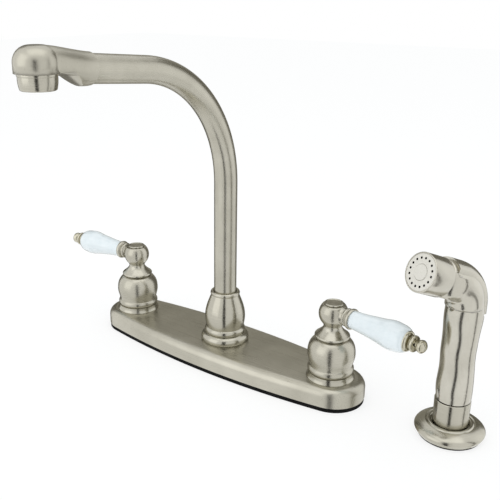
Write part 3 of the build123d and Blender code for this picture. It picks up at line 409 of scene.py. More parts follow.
# %% Dielectrics and bare metals
def surface(name, dark, light, grain, roughness, bump, metallic=0.0, stretch=(1, 1, 1), **extra):
    """A finish with a two-tone grain; grain is the grain size and bump its depth, in millimetres."""
    material = new_material(name)
    tree = material.node_tree
    place = add(tree, "TexCoord").outputs["Object"]
    sized = add(tree, "Mapping", {"Scale": [part / (grain * MM) for part in stretch]}, {"Vector": place})
    noise = add(tree, "TexNoise", {"Scale": 1.0, "Detail": 4.0}, {"Vector": sized.outputs[0]})
    tone = add(tree, "ValToRGB", links={"Fac": noise.outputs["Fac"]})
    tone.color_ramp.elements[0].position = 0.3
    tone.color_ramp.elements[1].position = 0.7
    tone.color_ramp.elements[0].color = linear(dark)
    tone.color_ramp.elements[1].color = linear(light)
    # handling wears a surface in patches, about 11 mm across
    broad = add(tree, "TexNoise", {"Scale": 90.0, "Detail": 2.0}, {"Vector": place})
    wear = add(
        tree,
        "MapRange",
        {"From Min": 0.3, "From Max": 0.7, "To Min": roughness * 0.8, "To Max": roughness * 1.2},
        {"Value": broad.outputs["Fac"]},
    )
    height = add(tree, "Bump", {"Strength": 0.6, "Distance": bump * MM}, {"Height": noise.outputs["Fac"]})
    values = {"Metallic": metallic}
    values.update(extra)
    body = add(
        tree,
        "BsdfPrincipled",
        values,
        {"Base Color": tone.outputs["Color"], "Roughness": wear.outputs[0], "Normal": height.outputs[0]},
    )
    add(tree, "OutputMaterial", links={"Surface": body.outputs[0]})
    return material


polished_nickel = surface(
    "polished_nickel", "B4B09C", "CDC9B8", grain=3.0, roughness=0.05, bump=0.01, metallic=1.0
)
glaze = {"IOR": 1.5, "Coat Weight": 0.6, "Coat Roughness": 0.03, "Coat IOR": 1.52}
porcelain = surface("glazed_porcelain", "E8F1F5", "F0F7FA", grain=6.0, roughness=0.10, bump=0.03, **glaze)
acetal = surface("moulded_acetal", "DCD8CE", "E8E4DB", grain=0.4, roughness=0.38, bump=0.01, IOR=1.48)
# rubber is porous at the scale of light, which takes away most of its mirror reflection
rubber = {"IOR": 1.5, "Specular IOR Level": 0.15}
foam_rubber = surface(
    "closed_cell_foam_rubber", "070707", "121212", grain=0.5, roughness=0.85, bump=0.05, **rubber
)
soft_rubber = surface(
    "moulded_black_rubber", "101010", "1A1A1A", grain=0.8, roughness=0.6, bump=0.02, **rubber
)
lathe_marks = (0.05, 0.05, 1)
brass = surface(
    "machined_brass",
    "B08A4A",
    "C9A55E",
    grain=0.5,
    roughness=0.24,
    bump=0.02,
    metallic=1.0,
    stretch=lathe_marks,
)
zinc_steel = surface(
    "zinc_plated_steel", "8F9296", "B4B6B8", grain=1.5, roughness=0.34, bump=0.02, metallic=1.0
)
alumina = surface("sintered_alumina", "E9E6DD", "F3F1EA", grain=0.5, roughness=0.3, bump=0.004, IOR=1.76)
nylon = surface("moulded_nylon", "CFCDBF", "DAD8CC", grain=0.8, roughness=0.42, bump=0.01, IOR=1.53)
# painted shade: a near-black finish for the walls of the spray face's holes and the groove round its button,
# which are in shade, not dark in themselves
painted_shade_black = surface("painted_shade_in_holes", "060606", "0E0E0D", grain=1.0, roughness=0.9, bump=0.02, **rubber)
print("materials:", len(bpy.data.materials))

# %% [markdown]
# ## Finishes of the pieces that come straight from the model
#
# A piece that already has its real shape keeps its mesh and only gets a finish. The hidden pieces count
# too: the lower side is seen when the faucet is turned over in the hand.

# %% Finish every carried-over piece
finishes = {
    foam_rubber: ("deck_gasket",),
    soft_rubber: ("holder_gasket", "aerator_washer", "seat_seals", "spout_o_rings"),
    brass: (
        "waterway_body",
        "diverter_seat",
        "plate_nuts",
        "spout_foot",
        "left_cartridge",
        "right_cartridge",
        "left_valve_stem",
        "right_valve_stem",
        "hose_connector",
    ),
    zinc_steel: ("deck_washers", "left_handle_screw", "right_handle_screw", "trigger_pins"),
    alumina: ("fixed_discs", "left_moving_disc", "right_moving_disc"),
    nylon: ("glide_ring", "diverter_plunger", "aerator_screen", "valve_plunger"),
}
for material, names in finishes.items():
    for name in names:
        mesh = frame["nodes"][name].data
        mesh.materials.clear()
        mesh.materials.append(material)
print("finished as packed:", sum(len(names) for names in finishes.values()), "pieces")

# %% [markdown]
# ## Smooth copies of the sculpted pieces
#
# The base plate, the nose, the lever hubs, the handset and its trigger are blends of several forms. Making
# them again by hand would only lose accuracy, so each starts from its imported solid: a copy is merged, its
# true edges are found by their angle, and everything between them is shaded smooth. The nuts' edges get a
# small bevel too, as tumbling and moulding leave them.


# %% Merged, smooth-shaded copies
def smooth_between_edges(piece, edge_angle=32):
    """Smooth shading, but crisp where two faces meet at more than the angle."""
    piece.data.shade_smooth()
    piece.data.set_sharp_from_angle(angle=radians(edge_angle))


def break_edges(shape, width, edge_angle=40):
    """Bevels every outward edge that is sharper than the angle."""
    sharp = [
        edge
        for edge in shape.edges
        if edge.is_manifold and edge.is_convex and edge.calc_face_angle(0) > radians(edge_angle)
    ]
    bmesh.ops.bevel(
        shape,
        geom=sharp,
        offset=width * MM,
        offset_type="OFFSET",
        segments=2,
        profile=0.5,
        affect="EDGES",
        clamp_overlap=True,
        material=-1,
    )


def refined(node, material, broken_edge=0.0):
    """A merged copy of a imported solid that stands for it."""
    shape = bmesh.new()
    shape.from_mesh(frame["nodes"][node].data)
    bmesh.ops.remove_doubles(shape, verts=shape.verts, dist=0.002 * MM)
    bmesh.ops.dissolve_degenerate(shape, edges=shape.edges, dist=0.002 * MM)
    if broken_edge:
        bmesh.ops.dissolve_limit(shape, angle_limit=radians(1), verts=shape.verts, edges=shape.edges)
        break_edges(shape, broken_edge)
    piece = finished(node + "_smooth", shape)
    piece.data.materials.clear()
    piece.data.materials.append(material)
    smooth_between_edges(piece)
    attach(piece, frame["nodes"][node]["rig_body"])
    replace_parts(piece, node)
    return piece


refined("deck_plate", plate_nickel)
refined("spout_nose", cast_nickel)
refined("handset_body", handset_nickel)
refined("trigger", handset_nickel)
for hand in ("left", "right"):
    refined(hand + "_handle_hub", hub_nickel)
refined("deck_lock_nuts", zinc_steel, broken_edge=0.5)
refined("holder_nut", nylon, broken_edge=0.4)

# %% [markdown]
# ## Turned pieces
#
# Bells, rings and the spout nut come off a lathe, and the porcelain is just as round, so all of them are
# made the same way here: half an outline is drawn and spun round its axis. Real turned edges are never
# knife-sharp, so every sharp outward edge is broken with a small bevel, and that bevel is what catches the
# light.
#
# The outlines need two curves: an arc through three points, for beads and coves, and a flowing line through
# several points, for bellies.


# %% Curves for outlines
def arc(start, middle, end, count=8):
    """Points along the circle through three points."""
    (ax, ay), (bx, by), (cx, cy) = start, middle, end
    area = 2 * (ax * (by - cy) + bx * (cy - ay) + cx * (ay - by))
    a = ax * ax + ay * ay
    b = bx * bx + by * by
    c = cx * cx + cy * cy
    centre_x = (a * (by - cy) + b * (cy - ay) + c * (ay - by)) / area
    centre_y = (a * (cx - bx) + b * (ax - cx) + c * (bx - ax)) / area
    centre = Vector((centre_x, centre_y))
    first = Vector(start) - centre
    halfway = Vector(middle) - centre
    sweep = -first.angle_signed(halfway) - halfway.angle_signed(Vector(end) - centre)
    turns = [Matrix.Rotation(sweep * step / count, 2) for step in range(count + 1)]
    return [tuple(centre + turn @ first) for turn in turns]


def flowing(points, first_way, last_way, count=10):
    """A smooth curve through the points that leaves and arrives in the given directions."""
    knots = [Vector(point) for point in points]
    spans = [(b - a).length for a, b in zip(knots, knots[1:])]
    ways = [Vector(first_way).normalized()]
    for before, here, after, low, high in zip(knots, knots[1:], knots[2:], spans, spans[1:]):
        ways.append(((here - before) / low * high + (after - here) / high * low) / (low + high))
    ways.append(Vector(last_way).normalized())
    curve = [tuple(knots[0])]
    for a, b, way_a, way_b, span in zip(knots, knots[1:], ways, ways[1:], spans):
        for step in range(1, count + 1):
            t = step / count
            point = (2 * t**3 - 3 * t**2 + 1) * a + (3 * t**2 - 2 * t**3) * b
            point += ((t**3 - 2 * t**2 + t) * way_a + (t**3 - t**2) * way_b) * span
            curve.append(tuple(point))
    return curve


quarter = arc((1, 0), (0.7071, 0.7071), (0, 1), count=2)
print("a quarter circle in two steps:", [tuple(round(value, 2) for value in point) for point in quarter])


# %% The lathe
lathe_steps = 96
same_point = 1e-4


def spun(shape, outline, steps=lathe_steps):
    """Spins a closed half outline of (radius, height) points about the upright axis."""
    following = outline[1:] + outline[:1]
    points = []
    for here, after in zip(outline, following):
        if hypot(here[0] - after[0], here[1] - after[1]) > same_point:
            points.append(here)
    corners = [shape.verts.new((radius * MM, 0, height * MM)) for radius, height in points]
    ring = [shape.edges.new(pair) for pair in zip(corners, corners[1:] + corners[:1])]
    bmesh.ops.spin(
        shape,
        geom=corners + ring,
        axis=(0, 0, 1),
        cent=(0, 0, 0),
        angle=2 * pi,
        steps=steps,
        use_merge=True,
    )
    bmesh.ops.remove_doubles(shape, verts=shape.verts, dist=0.001 * MM)
    bmesh.ops.dissolve_degenerate(shape, edges=shape.edges, dist=0.001 * MM)
    bmesh.ops.recalc_face_normals(shape, faces=shape.faces)


def fitted(name, shape, material, body, node, place=Matrix()):
    """Puts a finished shape in its place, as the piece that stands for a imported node."""
    bmesh.ops.transform(shape, matrix=place, verts=shape.verts)
    piece = finished(name, shape)
    piece.data.materials.append(material)
    smooth_between_edges(piece)
    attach(piece, body)
    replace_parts(piece, node)
    return piece


def turned(name, outline, material, body, node, place=Matrix(), broken_edge=0.12):
    """Spins an outline, breaks its sharp edges and fits it in place."""
    shape = bmesh.new()
    spun(shape, outline)
    break_edges(shape, broken_edge)
    return fitted(name, shape, material, body, node, place)


print("the lathe works in", lathe_steps, "steps a turn")

# %% [markdown]
# ## The escutcheons
#
# Each valve stands under a bell that sits on a low ring. The bell's outline is a bead at its foot, a waist,
# a full belly and a shoulder that folds in to a flat mouth. It is hollow, as the cast one is. The outer
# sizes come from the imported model, and the rest of the outline hangs on them.

# %% Bells and their rings
plate_top = round_size("deck_plate")[2]
low, high = measure("right_bell")
half_spacing = (low.x + high.x) / 2
belly, bell_foot, bell_top = round_size("right_bell")
ring_edge = round_size("right_base_ring")[0]
ring_side = ring_edge - 0.9
bead = belly - 0.6
waist = belly - 1.7
belly_height = bell_foot + 14.7
wall = 1.8
neck_hole = 7.6
mouth = 12.4

base_ring = [
    *arc((ring_edge, plate_top + 0.6), (ring_side + 0.15, plate_top + 2.3), (ring_side, bell_foot)),
    (waist - 1.4, bell_foot),
    (waist - 1.4, plate_top),
    (ring_edge, plate_top),
]
bell_foot_edge = bead - 0.5
bell = [
    *arc((bell_foot_edge, bell_foot + 0.9), (bead, bell_foot + 2.1), (waist, bell_foot + 5.3)),
    *flowing(
        [(waist, bell_foot + 5.3), (belly, belly_height), (belly - 1.7, bell_top - 4.1), (mouth, bell_top)],
        (0.05, 1),
        (-1, 0.45),
    ),
    (neck_hole, bell_top),
    *flowing(
        [
            (neck_hole, bell_top - 1.9),
            (belly - 3.7, bell_top - 5.3),
            (belly - wall, belly_height),
            (waist - wall, bell_foot + 5.3),
        ],
        (1, -0.3),
        (-0.05, -1),
    ),
    (waist - wall, bell_foot),
    (bell_foot_edge - 0.6, bell_foot),
]
for side, hand in ((-1, "left"), (1, "right")):
    place = at(side * half_spacing, 0)
    node = hand + "_base_ring"
    turned(hand + "_ring_turned", base_ring, turned_nickel, "base", node, place)
    node = hand + "_bell"
    piece = turned(hand + "_bell_turned", bell, bell_nickel, "base", node, place)
    print(hand, "bell:", len(piece.data.polygons), "faces")

# %% [markdown]
# ## The lever handles
#
# A rod ties each lever together: hub, double ring, porcelain and the polished end. The pieces are
# turned on the upright axis first and then laid along their lever, which is a change of axes, not a new
# outline. The left lever points 3.5 degrees in front of straight out, and the right one 9 degrees.

# %% How a lever lies
lever_height = 69.5
lever_turns = {"left": 3.5, "right": 9.0}


def along_lever(side, hand):
    """The change of axes that lays an upright turned piece along a lever."""
    turn = radians(lever_turns[hand])
    out = Vector((side * cos(turn), -sin(turn), 0))
    up = Vector((0, 0, 1))
    axes = Matrix((up, out.cross(up), out)).transposed().to_4x4()
    return at(side * half_spacing, 0, lever_height) @ axes


print("the right lever points along", [round(value, 3) for value in along_lever(1, "right").col[2][:3]])

# %% [markdown]
# The cap on the hub has a low rim round a shallow dish. The double ring is two beads, the outer one cupped
# for the porcelain. The porcelain is slip-cast and glazed, thickest near its outer end. The polished end is
# one turning: a cap, a cove, a ring and a knob on the rod.

# %% Caps, rings, porcelain and ends
cap_edge, cap_plug_foot, cap_top = round_size("left_index_cap")
cap_seat = cap_top - 1.6
dish = cap_top - 0.45
cap = [
    (0, dish),
    (cap_edge - 1.3, dish),
    *arc((cap_edge - 0.8, cap_top - 0.05), (cap_edge - 0.45, cap_top), (cap_edge, cap_top - 0.35), count=4),
    (cap_edge, cap_seat + 0.3),
    (cap_edge - 0.4, cap_seat),
    (cap_edge - 1.9, cap_seat),
    (cap_edge - 1.9, cap_plug_foot),
    (0, cap_plug_foot),
]
boss_end = 11.4
ferrule_end = 18.2
rod_hole = 2.6
grip_foot = 17.3
grip_end = 63.8
groove = 6.1
ferrule = [
    *arc((groove, boss_end), (6.9, boss_end + 1.3), (groove, boss_end + 2.6), count=6),
    *arc((groove, boss_end + 3.2), (7.8, boss_end + 4.9), (7.4, ferrule_end), count=8),
    (6.9, ferrule_end),
    (6.9, grip_foot),
    (rod_hole, grip_foot),
    (rod_hole, boss_end),
]
grip_neck = 6.6
grip_belly = 10.4
grip_belly_reach = 54.0
grip_lip = 7.3
grip = [
    *flowing(
        [
            (grip_neck, grip_foot + 0.6),
            (grip_neck + 0.55, grip_foot + 9),
            (grip_neck + 2.3, grip_foot + 24),
            (grip_belly, grip_belly_reach),
            (grip_lip, grip_end),
        ],
        (0.05, 1),
        (-1, 0.7),
        count=12,
    ),
    (rod_hole, grip_end),
    (rod_hole, grip_foot),
    *arc(
        (grip_neck - 0.5, grip_foot),
        (grip_neck - 0.15, grip_foot + 0.15),
        (grip_neck, grip_foot + 0.6),
        count=3,
    ),
]
rod = 2.3
rod_start = 6.8
end_cap = 7.5
cove = 5.3
ring_reach = 69.0
knob_neck = 2.9
knob_neck_reach = 71.8
knob_belly = 4.7
knob_belly_reach = 75.1
lever_reach = 78.4
lever_end = [
    *arc((end_cap, grip_end), (7.1, grip_end + 1.2), (cove, grip_end + 2.2), count=5),
    *arc((cove, grip_end + 2.2), (3.4, grip_end + 3.1), (3.5, ring_reach - 1.2), count=5),
    *arc((5.5, ring_reach - 1.2), (5.9, ring_reach), (5.5, ring_reach + 1.2), count=5),
    (knob_neck, ring_reach + 1.2),
    *flowing(
        [(knob_neck, knob_neck_reach), (knob_belly, knob_belly_reach), (0, lever_reach)],
        (1, 0.25),
        (-1, 0),
        count=8,
    ),
    (0, rod_start),
    (rod, rod_start),
    (rod, grip_end),
]
for side, hand in ((-1, "left"), (1, "right")):
    upright = at(side * half_spacing, 0)
    laid = along_lever(side, hand)
    body = hand + "_handle"
    for name, outline, material, node, slot, place in (
        ("_cap_turned", cap, turned_nickel, "_index_cap", "brushed_nickel", upright),
        ("_ring_pair", ferrule, lever_nickel, "_lever_ferrule", "brushed_nickel", laid),
        ("_glazed_grip", grip, porcelain, "_porcelain_lever", "porcelain", laid),
        ("_polished_end", lever_end, polished_nickel, "_lever_finial", "polished_nickel", laid),
    ):
        turned(hand + name, outline, material, body, hand + node, place)
    print(hand, "lever reaches", lever_reach, "mm from its axis")

# %% [markdown]
# ## The spout's tube
#
# The tube is bent on a former, and bmesh can bend it the same way: a circle is drawn up, spun round the
# bend's centre and drawn out along the arm. The wall is real, so the open end inside the nose looks right.

# %% Tube
tube_radius = 9.15
tube_wall = 1.3
tube_foot = measure("spout_tube")[0].z
bend_height = 151.0
bend_radius = 93.0
arm_rise = radians(4.7)
arm_end = 140.0
bend_angle = pi / 2 - arm_rise
arm_start = Vector((0, -bend_radius * (1 - cos(bend_angle)), bend_height + bend_radius * sin(bend_angle)))
arm_way = Vector((0, -cos(arm_rise), sin(arm_rise)))


def draw_tube(shape, radius):
    """Draws one skin of the tube: up, round the bend and out along the arm."""
    made = bmesh.ops.create_circle(shape, segments=72, radius=radius * MM, cap_ends=False)
    bmesh.ops.translate(shape, vec=(0, 0, tube_foot * MM), verts=made["verts"])
    rim = list({edge for vert in made["verts"] for edge in vert.link_edges})
    drawn = bmesh.ops.extrude_edge_only(shape, edges=rim)["geom"]
    moved = [item for item in drawn if isinstance(item, bmesh.types.BMVert)]
    bmesh.ops.translate(shape, vec=(0, 0, (bend_height - tube_foot) * MM), verts=moved)
    rim = [item for item in drawn if isinstance(item, bmesh.types.BMEdge) and item.is_boundary]
    bent = bmesh.ops.spin(
        shape,
        geom=moved + rim,
        cent=Vector((0, -bend_radius, bend_height)) * MM,
        axis=(1, 0, 0),
        angle=bend_angle,
        steps=56,
    )["geom_last"]
    rim = [item for item in bent if isinstance(item, bmesh.types.BMEdge)]
    drawn = bmesh.ops.extrude_edge_only(shape, edges=rim)["geom"]
    moved = [item for item in drawn if isinstance(item, bmesh.types.BMVert)]
    run = (arm_end + arm_start.y) / cos(arm_rise)
    bmesh.ops.translate(shape, vec=arm_way * run * MM, verts=moved)


shape = bmesh.new()
draw_tube(shape, tube_radius)
draw_tube(shape, tube_radius - tube_wall)
bmesh.ops.remove_doubles(shape, verts=shape.verts, dist=0.001 * MM)
open_rims = [edge for edge in shape.edges if edge.is_boundary]
foot_rims = [edge for edge in open_rims if edge.verts[0].co.z < (tube_foot + 1) * MM]
nose_rims = [edge for edge in open_rims if edge.verts[0].co.z > (tube_foot + 1) * MM]
bmesh.ops.bridge_loops(shape, edges=foot_rims)
bmesh.ops.bridge_loops(shape, edges=nose_rims)
bmesh.ops.recalc_face_normals(shape, faces=shape.faces)
print("tube faces:", len(shape.faces))

# %% [markdown]
# The tube's brushing has to follow the bend, so it gets a UV map: the length round the tube and the length
# along it, both in metres. Each point is measured along the upright, the bend or the arm, whichever it is
# on.


# %% A map that follows the tube
def on_tube(point):
    """The length along the tube and the angle round it, for a point in millimetres."""
    back = point.y + bend_radius
    up = point.z - bend_height
    rise = bend_height - tube_foot
    angle = atan2(up, back)
    if up <= 0:
        return up + rise, atan2(point.x, point.y)
    if angle <= bend_angle:
        return rise + bend_radius * angle, atan2(point.x, hypot(back, up) - bend_radius)
    beyond = point - arm_start
    outward = beyond.dot(Vector((0, sin(arm_rise), cos(arm_rise))))
    return rise + bend_radius * bend_angle + beyond.dot(arm_way), atan2(point.x, outward)


length_map = shape.loops.layers.uv.new("round_and_along")
for face in shape.faces:
    middle_round = on_tube(face.calc_center_median() / MM)[1]
    for loop in face.loops:
        length, turn = on_tube(loop.vert.co / MM)
        turn += 2 * pi * round((middle_round - turn) / (2 * pi))
        loop[length_map].uv = (tube_radius * turn * MM, length * MM)
fitted("bent_tube", shape, tube_nickel, "spout", "spout_tube")
near_arm_end = Vector((0, -arm_end, 250))
print("tube length along its middle:", round(on_tube(near_arm_end)[0]), "mm")

# %% [markdown]
# ## The spout's base
#
# A rounded ring covers the hole in the plate, and a barrel-shaped nut screws over the post and holds the
# spout down. Inside, the nut is stepped for the post, the spout's foot and the tube, and it ends above in a
# thin rolled lip.

# %% Flange and nut
flange_edge, _, flange_top = round_size("spout_flange")
nut_edge, nut_foot, nut_top = round_size("spout_nut")
post = 13.0
spout_flange = [
    *arc(
        (flange_edge - 0.9, plate_top),
        (flange_edge, (plate_top + flange_top) / 2 - 0.6),
        (nut_edge - 0.2, flange_top),
        count=12,
    ),
    (post + 0.1, flange_top),
    (post + 0.1, plate_top),
]
turned("spout_flange_turned", spout_flange, turned_nickel, "base", "spout_flange")
nut_waist = nut_edge - 1.3
nut_bead_top = nut_foot + 5.0
nut_belly_height = 38.0
shoulder = nut_top - 3.0
shoulder_radius = 11.4
lip = 12.1
throat = tube_radius + 0.24
glide_top = 36.6
foot_room = 11.6
post_top = 31.0
spout_nut = [
    *arc((nut_edge - 0.9, nut_foot), (nut_edge, nut_foot + 2.0), (nut_waist, nut_bead_top)),
    *flowing(
        [(nut_waist, nut_bead_top), (nut_edge - 0.1, nut_belly_height), (shoulder_radius, shoulder)],
        (0.25, 1),
        (-0.42, 1),
        count=14,
    ),
    *arc((shoulder_radius, shoulder), (lip, (shoulder + nut_top) / 2), (lip - 1.0, nut_top)),
    (throat + 0.5, nut_top),
    (throat, nut_top - 0.6),
    (throat, glide_top),
    (foot_room, glide_top),
    (foot_room, post_top),
    (post, post_top),
    (post, nut_foot),
]
turned("spout_nut_turned", spout_nut, turned_nickel, "base", "spout_nut")
print("spout nut:", round(nut_top - nut_foot, 1), "mm tall")

# %% [markdown]
# ## The aerator
#
# A short cup, screwed on the nose. A thin ring marks its top, the side tapers a little, and the lower edge
# rolls in to hold the screen.

# %% Aerator shell
aerator_edge, aerator_foot, aerator_top = round_size("aerator_housing")
low, high = measure("aerator_housing")
outlet = at(0, (low.y + high.y) / 2)
side_radius = aerator_edge - 0.35
bore = aerator_edge - 1.7
thread_radius = 10.2
thread_foot = aerator_top - 4.9
aerator = [
    (thread_radius, aerator_top),
    (aerator_edge, aerator_top),
    (aerator_edge, aerator_top - 1.3),
    (side_radius, aerator_top - 1.6),
    *arc(
        (side_radius, aerator_top - 2.0),
        (aerator_edge - 0.55, aerator_foot + 3.6),
        (aerator_edge - 1.0, aerator_foot + 1.2),
    ),
    *arc(
        (aerator_edge - 1.0, aerator_foot + 1.2),
        (aerator_edge - 1.4, aerator_foot + 0.3),
        (aerator_edge - 2.2, aerator_foot),
        count=5,
    ),
    (bore - 1.8, aerator_foot),
    (bore - 1.8, aerator_foot + 0.9),
    (bore, aerator_foot + 0.9),
    (bore, thread_foot),
    (thread_radius, thread_foot),
]
turned("aerator_turned", aerator, turned_nickel, "spout", "aerator_housing", outlet)
print("aerator:", round(aerator_top - aerator_foot, 1), "mm tall")

# %% [markdown]
# ## The sprayer's holder and sleeve
#
# The holder is a broad rounded flange with a bead round its mouth. The handset's sleeve stands in it.

# %% Holder flange and sleeve
holder_edge, holder_foot, holder_top = round_size("holder_flange")
low, high = measure("holder_flange")
holder_x = (low.x + high.x) / 2
holder_y = (low.y + high.y) / 2
holder_foot_edge = 22.2
bead_radius = 14.6
holder_mouth = 12.9
holder_seat = 5.6
holder_bore = 10.4
holder = [
    *flowing(
        [
            (holder_foot_edge, holder_foot),
            (holder_edge, holder_foot + 3.4),
            (bead_radius + 2.4, holder_top - 0.6),
        ],
        (0.8, 1),
        (-1, 0.22),
        count=12,
    ),
    *arc(
        (bead_radius + 1.6, holder_top - 0.9),
        (bead_radius + 0.4, holder_top),
        (holder_mouth, holder_top - 1.0),
    ),
    (holder_mouth, holder_seat),
    (holder_bore, holder_seat),
    (holder_bore, holder_foot),
]
standing = at(holder_x, holder_y)
turned("holder_turned", holder, turned_nickel, "base", "holder_flange", standing)
sleeve_edge, sleeve_foot, sleeve_top = round_size("handset_sleeve")
plug = 9.9
sleeve = [
    (plug, sleeve_foot),
    (sleeve_edge - 0.6, sleeve_foot),
    (sleeve_edge - 0.2, sleeve_foot + 0.5),
    (sleeve_edge, sleeve_top - 0.4),
    (sleeve_edge - 0.4, sleeve_top),
    (plug - 2, sleeve_top),
    (plug - 2, sleeve_foot + 4),
    (plug, sleeve_foot + 4),
]
turned("sleeve_turned", sleeve, turned_nickel, "handset", "handset_sleeve", standing)
print("holder stands at", round(holder_x, 1), round(holder_y, 1))

# %% [markdown]
# ## The spray head
#
# The head looks up by 21 degrees and turns 25 degrees towards the faucet. Its pieces are turned upright and
# then carried onto the head's axis, whose zero is the seam between ring and body.


# %% The head's axis
sprayer_heading = radians(-25.0)
head_tilt = radians(21.0)
face_reach = 40.8
face_height = 127.8
ring_length = 17.5
seam_y = -face_reach + ring_length * cos(head_tilt)
seam_z = face_height - ring_length * sin(head_tilt)
out = Vector((0, -cos(head_tilt), sin(head_tilt)))
left = Vector((-1, 0, 0))
head_axes = Matrix((left, out.cross(left), out)).transposed().to_4x4()
on_head = standing @ Matrix.Rotation(sprayer_heading, 4, "Z") @ at(0, seam_y, seam_z) @ head_axes
print("the spray face looks along", [round(value, 2) for value in on_head.col[2][:3]])

# %% [markdown]
# The ring is a short satin tube that hides the joint. The face plate is moulded in pale acetal. Its sixteen
# holes are real ones with a fine bevelled rim. Their walls, and the narrow groove round the button, get a
# near-black finish as painted shade, because no light comes back out of them. The button in the middle
# has a shallow centre mark.

# %% Ring, face and button
head_ring = 13.1
face_edge = 12.1
face_top = ring_length - 0.2
face_back = face_top - 2.4
seam = 0.6
ring_step = 9.0
spray_ring = [
    (head_ring - 1.3, 0),
    (head_ring - 1.1, 0),
    (head_ring - 1.1, seam),
    (head_ring, seam),
    *arc(
        (head_ring, ring_length - 0.6),
        (head_ring - 0.15, ring_length - 0.2),
        (head_ring - 0.5, ring_length),
        count=4,
    ),
    (face_edge + 0.1, ring_length),
    (face_edge + 0.1, face_back),
    (face_edge - 1.2, face_back),
    (face_edge - 1.2, ring_step),
    (head_ring - 1.3, ring_step),
]
turned(
    "spray_ring_turned",
    spray_ring,
    handset_nickel,
    "handset",
    "spray_ring",
    on_head,
    broken_edge=0.18,
)

button_edge = 5.2
button_floor = face_top - 0.5
button_top = button_floor + 1.0
stem = 2.0
stem_foot = 4.3
button = [
    (0, button_top - 0.25),
    (0.35, button_top - 0.2),
    (0.6, button_top),
    *arc(
        (button_edge - 0.5, button_top),
        (button_edge - 0.15, button_top - 0.15),
        (button_edge, button_top - 0.5),
        count=5,
    ),
    (button_edge, button_floor),
    (stem, button_floor),
    (stem, stem_foot),
    (0, stem_foot),
]
turned(
    "face_button_turned",
    button,
    acetal,
    "handset",
    "face_button",
    on_head,
    broken_edge=0.05,
)
print("the head's ring is", ring_length, "mm long")

# %% Face plate with its holes
hole_count = 16
hole_circle = 9.3
hole = 0.75
rim = 0.2
piece = refined("spray_face", acetal, broken_edge=rim)
# a second slot holds the near-black painted shade for the holes and the groove round the button
piece.data.materials.append(painted_shade_black)
from_head = on_head.inverted()
look = on_head.col[2].to_3d()
hole_places = []
for number in range(hole_count):
    hole_places.append(Matrix.Rotation(2 * pi * number / hole_count, 2) @ Vector((0, hole_circle)))
button_gap = 0.1
# a face that looks straight along the head's axis belongs to the plate itself, not to a wall
flat_on = 0.99
painted_shade_faces = 0
for face in piece.data.polygons:
    place = (from_head @ face.center / MM).to_2d()
    beside_hole = min((place - spot).length for spot in hole_places) < hole + rim
    beside_button = button_edge < place.length < button_edge + button_gap + rim
    # walls of the holes and of the groove round the button take the near-black painted shade
    if (beside_hole or beside_button) and abs(face.normal.dot(look)) < flat_on:
        face.material_index = 1
        painted_shade_faces += 1
# counts the faces that carry the painted shade
print("dark faces in the holes and round the button:", painted_shade_faces)

# %% [markdown]
# ## Threads under the deck
#
# A thread is a ridge that climbs as it goes round. The spin tool makes it from one small profile when it is
# also told to climb a little with each step. The shank under it is turned down to the thread's root, so the
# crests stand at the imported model's radius. The real pitches are used: 14 threads to the inch on the
# half-inch inlets, 18 on the hose nipple, and a coarse moulded thread on the holder.


# %% Threads
def threaded(shape, crest, depth, pitch, low_end, high_end, steps=40):
    """Adds a climbing ridge between two heights; its foot is sunk into the shank."""
    root = crest - depth
    half = pitch / 2
    profile = [
        (root - 0.15, -half * 0.92),
        (root, -half * 0.86),
        (crest, -half * 0.14),
        (crest, half * 0.14),
        (root, half * 0.86),
        (root - 0.15, half * 0.92),
    ]
    start = low_end + half
    corners = [shape.verts.new((radius * MM, 0, (start + height) * MM)) for radius, height in profile]
    section = [shape.edges.new(pair) for pair in zip(corners, corners[1:] + corners[:1])]
    first_end = shape.faces.new(corners)
    turns = int((high_end - low_end - pitch) / pitch)
    bmesh.ops.spin(
        shape,
        geom=corners + section + [first_end],
        axis=(0, 0, 1),
        cent=(0, 0, 0),
        dvec=(0, 0, pitch / steps * MM),
        angle=2 * pi * turns,
        steps=steps * turns,
    )
    bmesh.ops.recalc_face_normals(shape, faces=shape.faces)
    return turns


def threaded_shank(name, material, node, body, outline, thread, place):
    """A turned shank with a thread on it."""
    shape = bmesh.new()
    spun(shape, outline, steps=64)
    turns = threaded(shape, *thread)
    fitted(name, shape, material, body, node, place)
    print(name, "has", turns, "turns of thread")


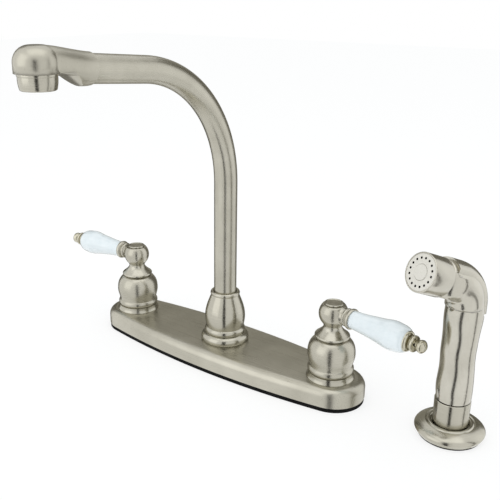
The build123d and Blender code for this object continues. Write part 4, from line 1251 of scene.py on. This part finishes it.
inlet_crest, inlet_foot, inlet_top = round_size("left_inlet_shank")
inlet_depth = 0.9
inlet_bore = 6.8
inlet_thread_top = -21.0
inlet_pitch = 25.4 / 14
inlet = [
    (inlet_bore, inlet_foot),
    (inlet_crest - inlet_depth - 0.4, inlet_foot),
    (inlet_crest - inlet_depth, inlet_foot + 0.6),
    (inlet_crest - inlet_depth, inlet_thread_top),
    (inlet_crest, inlet_thread_top + 0.6),
    (inlet_crest, inlet_top),
    (inlet_bore, inlet_top),
]
for side, hand in ((-1, "left"), (1, "right")):
    threaded_shank(
        hand + "_inlet_threaded",
        brass,
        hand + "_inlet_shank",
        "base",
        inlet,
        (inlet_crest, inlet_depth, inlet_pitch, inlet_foot, inlet_thread_top - 1.0),
        at(side * half_spacing, 0),
    )
nipple_crest, nipple_foot, nipple_top = round_size("sprayer_outlet")
nipple_depth = 0.7
nipple_bore = 3.6
nipple_thread = 16.0
nipple_pitch = 25.4 / 18
nipple = [
    (nipple_bore, nipple_foot),
    (nipple_crest - nipple_depth - 0.4, nipple_foot),
    (nipple_crest - nipple_depth, nipple_foot + 0.5),
    (nipple_crest - nipple_depth, nipple_foot + nipple_thread),
    (nipple_crest, nipple_foot + nipple_thread + 0.6),
    (nipple_crest, nipple_top),
    (nipple_bore, nipple_top),
]
threaded_shank(
    "sprayer_outlet_threaded",
    brass,
    "sprayer_outlet",
    "base",
    nipple,
    (nipple_crest, nipple_depth, nipple_pitch, nipple_foot, nipple_foot + nipple_thread - 0.4),
    Matrix(),
)

shank_crest, shank_foot, shank_top = round_size("holder_shank")
shank_depth = 1.1
shank_pitch = 2.5
shank_bore = holder_bore
collar_foot = -9.0
holder_shank = [
    (shank_bore, shank_foot),
    (shank_crest - shank_depth - 0.5, shank_foot),
    (shank_crest - shank_depth, shank_foot + 0.6),
    (shank_crest - shank_depth, collar_foot - 0.4),
    (shank_crest, collar_foot),
    (shank_crest, shank_top),
    (shank_bore, shank_top),
]
threaded_shank(
    "holder_shank_threaded",
    nylon,
    "holder_shank",
    "base",
    holder_shank,
    (shank_crest, shank_depth, shank_pitch, shank_foot, collar_foot - 1.5),
    standing,
)

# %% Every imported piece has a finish
dressed = {name for piece in scene.objects for name in piece.get("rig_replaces", [])}
dressed.update(name for names in finishes.values() for name in names)
print("without a finish:", sorted(set(frame["nodes"]) - dressed))
